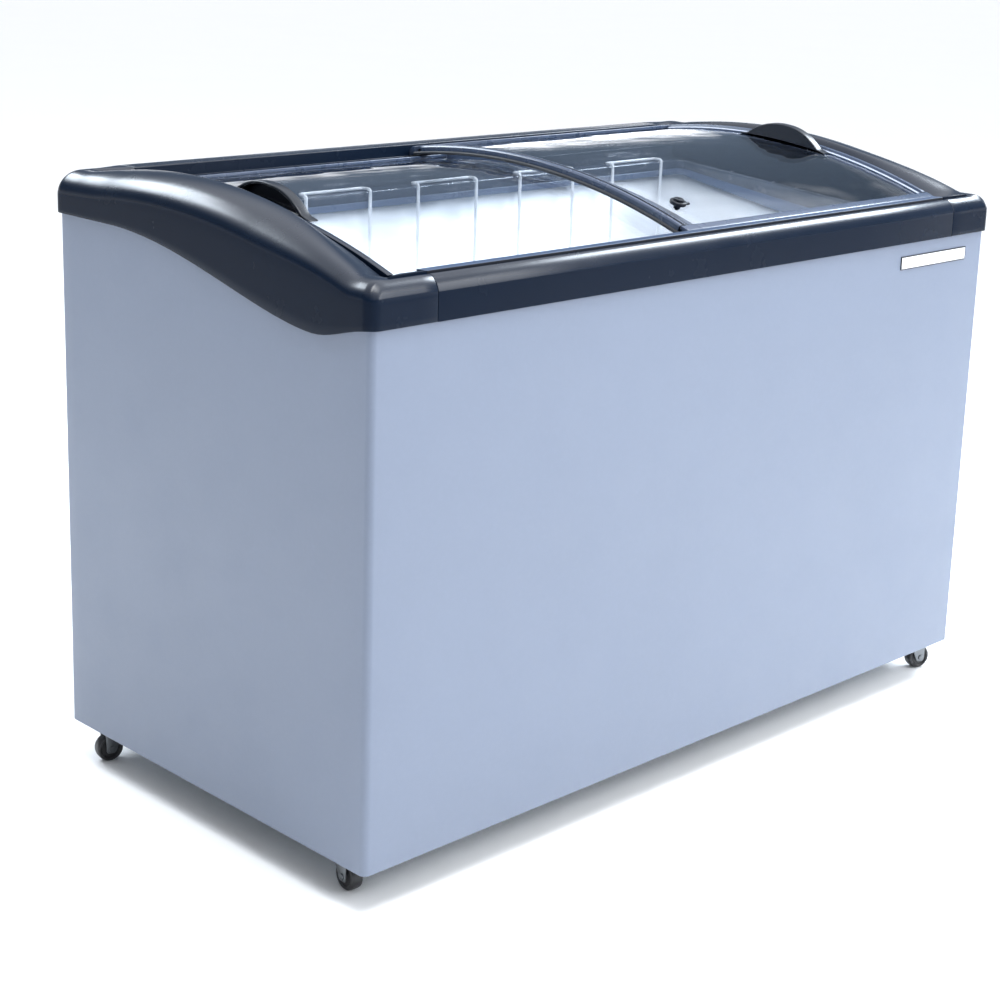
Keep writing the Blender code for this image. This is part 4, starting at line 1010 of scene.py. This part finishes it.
def make_baskets():
    bm = bmesh.new()
    hw, r = BASKET_W / 2, 0.0018
    y0, y1, z0, z1 = BASKET_Y0, BASKET_Y1, BASKET_Z0, BASKET_Z1
    rr = 0.0026
    # rims: one at the top and one near the bottom
    for z, ins, rad in ((z1 - rr, rr, rr), (z1 - 0.075, r, r), (z1 - 0.145, r, r), (z0 + 0.030, r, r)):
        plan = fillet([(-hw + ins, y0 + ins), (hw - ins, y0 + ins), (hw - ins, y1 - ins), (-hw + ins, y1 - ins)], 0.014, 6)
        add_tube(bm, [(q.x, q.y, z) for q in plan], rad, 10, closed=True)
    # U wires across the basket and along it
    ins = 2 * r + rr
    ny = 13
    for k in range(ny):
        y = mix(y0 + 0.022, y1 - 0.022, k / (ny - 1))
        add_tube(bm, bend([(-hw + ins, y, z1 - rr), (-hw + ins, y, z0 + r), (hw - ins, y, z0 + r), (hw - ins, y, z1 - rr)], 0.012, 5), r, 8)
    nx = 7
    for k in range(nx):
        x = mix(-hw + 0.022, hw - 0.022, k / (nx - 1))
        zz = z0 + r * 3
        add_tube(bm, bend([(x, y0 + ins, z1 - rr), (x, y0 + ins, zz), (x, y1 - ins, zz), (x, y1 - ins, z1 - rr)], 0.012, 5), r, 8)
    # hangers over the collar at the back and the front
    for y_in, y_hook, z_hook in ((y1 - 0.0023, 0.2550, REAR_HOOK_Z), (y0 + 0.0020, -0.2330, FRONT_HOOK_Z)):
        add_tube(bm, bend([(-0.062, y_in, z1 - 0.100), (-0.062, y_in, z_hook), (-0.062, y_hook, z_hook), (0.062, y_hook, z_hook),
                           (0.062, y_in, z_hook), (0.062, y_in, z1 - 0.100)], 0.0045, 7), WIRE_R, 14)
    bmesh.ops.recalc_face_normals(bm, faces=bm.faces)
    me = bpy.data.meshes.new("wire_basket")
    bm.to_mesh(me)
    bm.free()
    me.shade_smooth()
    me.materials.append(MATS["basket_wire"])
    for k in range(BASKET_N):
        ob = bpy.data.objects.new("wire_basket_%d" % (k + 1), me)
        bpy.context.scene.collection.objects.link(ob)
        ob.location.x = (k - (BASKET_N - 1) / 2) * BASKET_PITCH
        bpy.context.view_layer.update()
        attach(ob, "basket_%d" % (k + 1))
        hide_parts("basket_%d" % (k + 1))


make_baskets()


# ================================================================ badge
def make_badge():
    x0, x1, z0, z1, yb = 0.418, 0.593, 0.7125, 0.7332, -D2 - 0.0003
    base = fillet([(x0, z0), (x1, z0), (x1, z1), (x0, z1)], 0.0012, 4)
    bm = bmesh.new()
    rings = [[Vector((q.x, yb, q.y)) for q in base]]
    for d, i in reversed(end_steps(0.0004, 2)):
        rings.append([Vector((q.x, yb - 0.0012 + d, q.y)) for q in inset(base, i)])
    rings.append([Vector((q.x, yb - 0.0012, q.y)) for q in inset(base, 0.0015)])
    rings.append([Vector((q.x, yb - 0.0008, q.y)) for q in inset(base, 0.0016)])
    skin(bm, rings)
    finish_piece("badge_rim", bm, "badge_border", "cabinet", ("badge_plate",), 30)
    bm = bmesh.new()
    face = inset(base, 0.0017)
    rings = [[Vector((q.x, yb - 0.0009, q.y)) for q in face]]
    for d, i in reversed(end_steps(0.0003, 2)):
        rings.append([Vector((q.x, yb - 0.0013 + d, q.y)) for q in inset(face, i)])
    skin(bm, rings)
    finish_piece("badge_face", bm, "badge_white", "cabinet", (), 30)


make_badge()


# ================================================================ casters
def make_casters():
    for tag, (px, py, deg) in CASTERS.items():
        turn = Matrix.Translation((px, py, 0)) @ Matrix.Rotation(math.radians(deg), 4, "Z")
        here = Matrix.Translation((px, py, 0))
        # top plate with four screw heads, ball race and kingpin
        bm = bmesh.new()
        plan = fillet([(-0.024, -0.021), (0.024, -0.021), (0.024, 0.021), (-0.024, 0.021)], 0.005, 5)
        rings = [[here @ Vector((q.x, q.y, 0.0552 + d)) for q in inset(plan, i)] for d, i in end_steps(0.0005, 2)]
        rings += [[here @ Vector((q.x, q.y, Z_BASE - 0.0003 - d)) for q in inset(plan, i)] for d, i in reversed(end_steps(0.0005, 2))]
        skin(bm, rings)
        add_turned(bm, [(0.0030, 0.0434), (0.0056, 0.0436), (0.0060, 0.0442), (0.0058, 0.0455), (0.0040, 0.0462), (0.0040, 0.0499),
                        (0.0115, 0.0500), (0.0125, 0.0508), (0.0130, 0.0530), (0.0145, 0.0553)], here, 36)
        for sx in (-1, 1):
            for sy in (-1, 1):
                add_turned(bm, [(0.0010, 0.0541), (0.0024, 0.0543), (0.0030, 0.0548), (0.0030, 0.0554)],
                           here @ Matrix.Translation((sx * 0.0185, sy * 0.0155, 0)), 16)
        finish_piece("caster_%s_mount" % tag, bm, "caster_steel", "cabinet", ("caster_%s_plate" % tag,), 35)
        # stamped fork: an open crown ring and two tapered legs
        bm = bmesh.new()
        crown_plan = fillet([(-0.013, -0.0120), (0.022, -0.0120), (0.022, 0.0120), (-0.013, 0.0120)], 0.006, 5)
        hole = [Vector((0.0045 * math.cos(a), 0.0045 * math.sin(a))) for a in [math.atan2(q.y, q.x - 0.0) for q in crown_plan]]
        zt, zb = 0.0496, 0.0466
        rows = []
        for ring, z in ((hole, zb), (inset(crown_plan, 0.0006), zb), (crown_plan, zb + 0.0006), (crown_plan, zt - 0.0010),
                        (inset(crown_plan, 0.0010), zt), (hole, zt)):
            rows.append([bm.verts.new(turn @ Vector((q.x, q.y, z))) for q in ring])
        for a, b in zip(rows, rows[1:] + rows[:1]):
            m = len(a)
            for i in range(m):
                bm.faces.new((a[i], a[(i + 1) % m], b[(i + 1) % m], b[i]))
        leg = fillet([(-0.010, 0.0485), (0.021, 0.0485), (TRAIL + 0.0075, 0.0160), (TRAIL + 0.005, 0.0130), (TRAIL - 0.005, 0.0130), (TRAIL - 0.0075, 0.0160)],
                     [0, 0, 0.010, 0.005, 0.005, 0.010], 5)
        for s in (-1, 1):
            ya, yb = (0.0098, 0.0118) if s > 0 else (-0.0118, -0.0098)
            rings = [[turn @ Vector((q.x, ya + d, q.y)) for q in inset(leg, i)] for d, i in end_steps(0.0005, 2)]
            rings += [[turn @ Vector((q.x, yb - d, q.y)) for q in inset(leg, i)] for d, i in reversed(end_steps(0.0005, 2))]
            skin(bm, rings)
        finish_piece("caster_%s_yoke" % tag, bm, "caster_steel", "caster_%s_swivel" % tag, ("caster_%s_fork" % tag,), 30)
        axis = turn @ Matrix.Translation((TRAIL, 0, WHEEL_R)) @ Matrix.Rotation(math.radians(90), 4, "X")
        bm = bmesh.new()
        add_turned(bm, [(0.0020, -0.0134), (0.0040, -0.0132), (0.0042, -0.0122), (0.0042, -0.0120), (0.0028, -0.0119), (0.0028, 0.0119),
                        (0.0042, 0.0120), (0.0042, 0.0124), (0.0036, 0.0134), (0.0018, 0.0136)], axis, 24)
        finish_piece("caster_%s_bolt" % tag, bm, "caster_steel", "caster_%s_swivel" % tag, ("caster_%s_axle" % tag,), 35)
        bm = bmesh.new()
        h = WHEEL_W / 2
        prof = [(0.0031, -h), (0.0062, -h), (0.0066, -h + 0.0006), (0.0070, -h + 0.0022), (0.0135, -h + 0.0026), (0.0146, -h + 0.0010),
                (0.0160, -h + 0.0002), (0.0182, -h + 0.0006), (0.0194, -h + 0.0020), (0.0199, -h + 0.0042), (0.0200, 0.0)]
        prof = prof + [(r, -z) for r, z in prof[-2::-1]]
        rings = [[axis @ p for p in ring] for ring in turned_rings(prof, 56)]
        rows = [[bm.verts.new(p) for p in r] for r in rings]
        for a, b in zip(rows, rows[1:] + rows[:1]):
            for i in range(56):
                bm.faces.new((a[i], a[(i + 1) % 56], b[(i + 1) % 56], b[i]))
        finish_piece("caster_%s_tyre" % tag, bm, "caster_wheel", "caster_%s_roller" % tag, ("caster_%s_wheel" % tag,), 30)


make_casters()


# ================================================================ back of the cabinet
def make_back():
    # rear panel with two stiffening beads and the window for the grille
    def flat(x, z):
        bead = 0.0
        for zb in (0.40, 0.66):
            bead += max(0.0, 1 - ((z - zb) / 0.010) ** 2) if abs(z - zb) < 0.010 and abs(x) < 0.58 else 0.0
        return D2 - 0.0003 - 0.0010 * bead
    xs = [-W2 + FLANGE + 0.0003] + [mix(-0.60, 0.60, k / 24) for k in range(25)] + [0.375, 0.625, W2 - FLANGE - 0.0003]
    xs = sorted(set(round(x, 5) for x in xs))
    top_of = body_top(D2) - 0.001
    zs = [Z_BASE, 0.075] + [mix(0.12, 0.30, k / 4) for k in range(5)] + [0.35]
    for zb in (0.40, 0.66):
        zs += [zb - 0.010, zb - 0.007, zb - 0.0035, zb, zb + 0.0035, zb + 0.007, zb + 0.010]
    zs += [0.5, 0.56, 0.72, 0.77, top_of]
    zs = sorted(set(round(z, 5) for z in zs))
    bm = bmesh.new()
    grid = [[bm.verts.new((x, flat(x, z), z)) for x in xs] for z in zs]
    for j in range(len(zs) - 1):
        for i in range(len(xs) - 1):
            xc, zc = (xs[i] + xs[i + 1]) / 2, (zs[j] + zs[j + 1]) / 2
            if 0.375 < xc < 0.625 and 0.075 < zc < 0.300:
                continue
            bm.faces.new((grid[j][i], grid[j][i + 1], grid[j + 1][i + 1], grid[j + 1][i]))
    loose = [v for v in bm.verts if not v.link_faces]
    bmesh.ops.delete(bm, geom=loose, context="VERTS")
    for f in bm.faces:
        f.normal_update()
    if sum(f.normal.y for f in bm.faces) < 0:
        bmesh.ops.reverse_faces(bm, faces=bm.faces)
    ob = finish_piece("rear_skin", bm, "galvanised", "cabinet", ("rear_panel",), 40, flip=False)
    s = ob.modifiers.new("sheet", "SOLIDIFY")
    s.thickness, s.offset = 0.0012, -1.0
    # grille: a frame with slanted louvres, and a plain field for the knob and the inlet
    bm = bmesh.new()
    y0, y1 = D2 - 0.0045, D2 - 0.0018
    gx0, gx1, gz0, gz1 = 0.370, 0.630, 0.070, 0.303
    for lo, hi in (((gx0, y0, gz0), (gx1, y1, gz0 + 0.014)), ((gx0, y0, gz1 - 0.014), (gx1, y1, gz1)),
                   ((gx0, y0, gz0 + 0.0138), (gx0 + 0.014, y1, gz1 - 0.0138)), ((gx1 - 0.014, y0, gz0 + 0.0138), (gx1, y1, gz1 - 0.0138))):
        add_block(bm, lo, hi, 0.0006, 2)
    add_block(bm, (0.4585, y0, gz0 + 0.0138), (0.4680, y1, gz1 - 0.0138), 0.0006, 2)
    n = 17
    for k in range(n):
        z = mix(gz0 + 0.0190, gz1 - 0.0190, k / (n - 1))
        full = 0.134 < z < 0.226
        xa = gx0 + 0.0136 if full else 0.4676
        m = Matrix.Translation(((xa + gx1 - 0.0136) / 2, (y0 + y1) / 2, z)) @ Matrix.Rotation(math.radians(-24), 4, "X")
        w = (gx1 - 0.0136 - xa) / 2
        add_block(bm, (-w, -0.0007, -0.0042), (w, 0.0007, 0.0042), 0.0005, 2, m)
    # the field round the knob, with a round hole, and round the inlet, with a square one
    def holed(x0, x1, z0, z1, hole):
        outer = []
        m = len(hole)
        cx, cz = sum(p.x for p in hole) / m, sum(p.y for p in hole) / m
        for p in hole:
            dx, dz = p.x - cx, p.y - cz
            k = min([(x1 - cx) / dx if dx > 1e-9 else 1e9, (x0 - cx) / dx if dx < -1e-9 else 1e9,
                     (z1 - cz) / dz if dz > 1e-9 else 1e9, (z0 - cz) / dz if dz < -1e-9 else 1e9])
            outer.append(Vector((cx + dx * k, cz + dz * k)))
        rows = []
        for ring, y in ((hole, y0), (outer, y0), (outer, y1), (inset(hole, -0.0008), y1), (hole, y1 - 0.0006)):
            rows.append([bm.verts.new((q.x, y, q.y)) for q in ring])
        for a, b in zip(rows, rows[1:] + rows[:1]):
            for i in range(m):
                bm.faces.new((a[i], a[(i + 1) % m], b[(i + 1) % m], b[i]))
    tx, tz = 0.420, 0.262
    circle = [Vector((tx + 0.0145 * math.cos(2 * math.pi * k / 48 + math.pi / 48), tz + 0.0145 * math.sin(2 * math.pi * k / 48 + math.pi / 48))) for k in range(48)]
    holed(gx0 + 0.0138, 0.4587, 0.2265, gz1 - 0.0138, circle)
    square = []
    base = fillet([(0.385, 0.088), (0.435, 0.088), (0.435, 0.122), (0.385, 0.122)], 0.003, 4)
    for i, p in enumerate(base):
        q = base[(i + 1) % len(base)]
        square.append(p)
        if (q - p).length > 0.01:
            square += [p.lerp(q, k / 4) for k in range(1, 4)]
    holed(gx0 + 0.0138, 0.4587, gz0 + 0.0138, 0.1330, square)
    finish_piece("vent_grille", bm, "black_plastic", "cabinet", ("rear_grille",), 30)
    # knob with a skirt, a grip bar and a pointer
    here = Matrix.Translation((tx, D2 - 0.0045, tz)) @ Matrix.Rotation(math.radians(-90), 4, "X")
    bm = bmesh.new()
    add_turned(bm, [(0.0126, 0.0), (0.0130, 0.0004), (0.0130, 0.0030), (0.0126, 0.0036), (0.0105, 0.0042), (0.0100, 0.0048), (0.0096, 0.0074),
                    (0.0088, 0.0081), (0.0060, 0.0084)], here, 48)
    add_block(bm, (-0.0006, -0.0118, 0.0034), (0.0006, -0.0030, 0.0086), 0.0003, 2, here)
    finish_piece("dial", bm, "black_plastic", "thermostat_dial", ("thermostat_knob",), 30)
    # inlet: a shroud round the three pins
    bm = bmesh.new()
    ya, yb = 0.317, D2 - 0.0012
    outer = fillet([(0.3853, 0.0883), (0.4347, 0.0883), (0.4347, 0.1217), (0.3853, 0.1217)], 0.0028, 5)
    inner = fillet([(0.393, 0.094), (0.427, 0.094), (0.427, 0.116), (0.393, 0.116)], [0.0012, 0.0012, 0.006, 0.006], 5)
    rings = [[Vector((q.x, ya, q.y)) for q in inset(outer, 0.0006)], [Vector((q.x, ya + 0.0006, q.y)) for q in outer]]
    for d, i in reversed(end_steps(0.0006, 2)):
        rings.append([Vector((q.x, yb - d, q.y)) for q in inset(outer, i)])
    rings.append([Vector((q.x, yb, q.y)) for q in inset(inner, -0.0004)])
    rings.append([Vector((q.x, yb - 0.0005, q.y)) for q in inner])
    rings.append([Vector((q.x, 0.3202, q.y)) for q in inner])
    skin(bm, rings)
    for x, w, z in ((0.402, 0.001, 0.1015), (0.410, 0.001, 0.1065), (0.418, 0.001, 0.1015)):
        add_block(bm, (x - w, 0.3195, z - 0.0022), (x + w, 0.3242, z + 0.0022), 0.0003, 2, mat_index=1)
    finish_piece("inlet_shroud", bm, ["black_plastic", "screw_zinc"], "cabinet", ("power_inlet",), 30)


make_back()

# ================================================================ carried-over nodes
CARRY = {
    "base_plate": "galvanised", "insulation_foam": "foam", "evaporator_coil": "copper", "compressor": "machine_black", "compressor_tray": "galvanised",
    "condenser": "galvanised", "fan_bracket": "galvanised", "fan_motor": "machine_black", "fan_blade": "black_plastic", "filter_drier": "copper",
    "thermostat_housing": "machine_black",
}
for node, mat in CARRY.items():
    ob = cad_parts[node]
    ob.data.materials.clear()
    ob.data.materials.append(MATS[mat])

# ================================================================ floor, light and camera
def floor_material():
    m = Nodes("floor_pale")
    base = m.blend(m.remap(m.noise(1.3, 4.0, 0.6), 0, 1, 0.3, 0.7), (0.975, 0.978, 0.982), (0.985, 0.987, 0.990))
    m.set(Base_Color=base, Roughness=m.remap(m.noise(6, 3.0), 0.55, 0.70), Normal=m.bump(m.noise(220, 3.0), 0.0001))
    return m.mat


bm = bmesh.new()
bmesh.ops.create_grid(bm, x_segments=8, y_segments=8, size=60.0)
me = bpy.data.meshes.new("floor")
bm.to_mesh(me)
bm.free()
floor = bpy.data.objects.new("floor", me)
bpy.context.scene.collection.objects.link(floor)
me.materials.append(floor_material())

world = bpy.data.worlds.new("studio")
bpy.context.scene.world = world
world.use_nodes = True
wt = world.node_tree
bg = wt.nodes["Background"]
way = wt.nodes.new("ShaderNodeTexCoord")
split = wt.nodes.new("ShaderNodeSeparateXYZ")
wt.links.new(way.outputs["Generated"], split.inputs[0])
ramp = wt.nodes.new("ShaderNodeValToRGB")
wt.links.new(split.outputs["Z"], ramp.inputs[0])
stops = ramp.color_ramp.elements
stops[0].position, stops[0].color = 0.0, (0.95, 0.97, 1.0, 1.0)
stops[1].position, stops[1].color = 0.75, (0.97, 0.98, 1.0, 1.0)
for at, tone in ((0.05, (0.84, 0.86, 0.90)), (0.12, (0.072, 0.094, 0.126)), (0.42, (0.072, 0.094, 0.126)), (0.62, (0.70, 0.72, 0.75))):
    e = stops.new(at)
    e.color = (*tone, 1.0)
# the room is brighter on the right than on the left
lean = wt.nodes.new("ShaderNodeMapRange")
wt.links.new(split.outputs["X"], lean.inputs["Value"])
for key, val in (("From Min", -1.0), ("From Max", 1.0), ("To Min", 0.44), ("To Max", 1.60)):
    lean.inputs[key].default_value = val
# a thin pale band at the horizon on every side
rimline = wt.nodes.new("ShaderNodeMapRange")
wt.links.new(split.outputs["Z"], rimline.inputs["Value"])
for key, val in (("From Min", 0.02), ("From Max", 0.06), ("To Min", 0.70), ("To Max", 0.0)):
    rimline.inputs[key].default_value = val
total = wt.nodes.new("ShaderNodeMath")
total.operation = "ADD"
wt.links.new(lean.outputs["Result"], total.inputs[0])
wt.links.new(rimline.outputs["Result"], total.inputs[1])
level = wt.nodes.new("ShaderNodeMath")
level.operation = "MULTIPLY"
wt.links.new(total.outputs[0], level.inputs[0])
level.inputs[1].default_value = 1.48
wt.links.new(ramp.outputs[0], bg.inputs["Color"])
wt.links.new(level.outputs[0], bg.inputs["Strength"])


def softbox(name, loc, target, size, power, color=(1, 1, 1)):
    data = bpy.data.lights.new(name, "AREA")
    data.shape, data.size, data.size_y = "RECTANGLE", size[0], size[1]
    data.energy, data.color = power, color
    ob = bpy.data.objects.new(name, data)
    bpy.context.scene.collection.objects.link(ob)
    ob.location = loc
    ob.rotation_mode = "QUATERNION"
    ob.rotation_quaternion = (Vector(loc) - Vector(target)).to_track_quat("Z", "Y")
    return ob


softbox("key", (1.6, -3.6, 2.8), (0.1, -0.2, 0.5), (2.2, 1.8), 110, (0.95, 0.97, 1.0))
softbox("top", (-0.5, -0.9, 3.2), (-0.2, 0.15, 0.5), (1.8, 1.4), 88, (0.98, 0.99, 1.0))
softbox("rim_right", (3.0, -0.4, 3.1), (0.0, -0.2, 0.8), (1.5, 1.5), 190, (0.82, 0.91, 1.0))
softbox("rim_back", (-0.9, 3.2, 3.2), (-0.3, 0.0, 0.8), (1.8, 1.2), 120, (0.82, 0.91, 1.0))

YAW, PITCH, ROLL = math.radians(44.93), math.radians(14.34), math.radians(1.813)
fw = Vector((math.sin(YAW) * math.cos(PITCH), math.cos(YAW) * math.cos(PITCH), -math.sin(PITCH)))
rt = Vector((math.cos(YAW), -math.sin(YAW), 0))
up = rt.cross(fw)
r_ax = rt * math.cos(ROLL) + up * math.sin(ROLL)
u_ax = -rt * math.sin(ROLL) + up * math.cos(ROLL)
cam_data = bpy.data.cameras.new("camera")
cam = bpy.data.objects.new("camera", cam_data)
bpy.context.scene.collection.objects.link(cam)
cam.matrix_world = Matrix(((r_ax.x, u_ax.x, -fw.x, -2.1283), (r_ax.y, u_ax.y, -fw.y, -2.0446), (r_ax.z, u_ax.z, -fw.z, 1.2468), (0, 0, 0, 1)))
cam_data.sensor_width = 36.0
cam_data.lens = 36.0 * 1.9974
cam_data.shift_x, cam_data.shift_y = -0.008, -0.0923
cam_data.clip_start, cam_data.clip_end = 0.05, 200.0
bpy.context.scene.camera = cam
bpy.context.scene.view_settings.view_transform = "Standard"
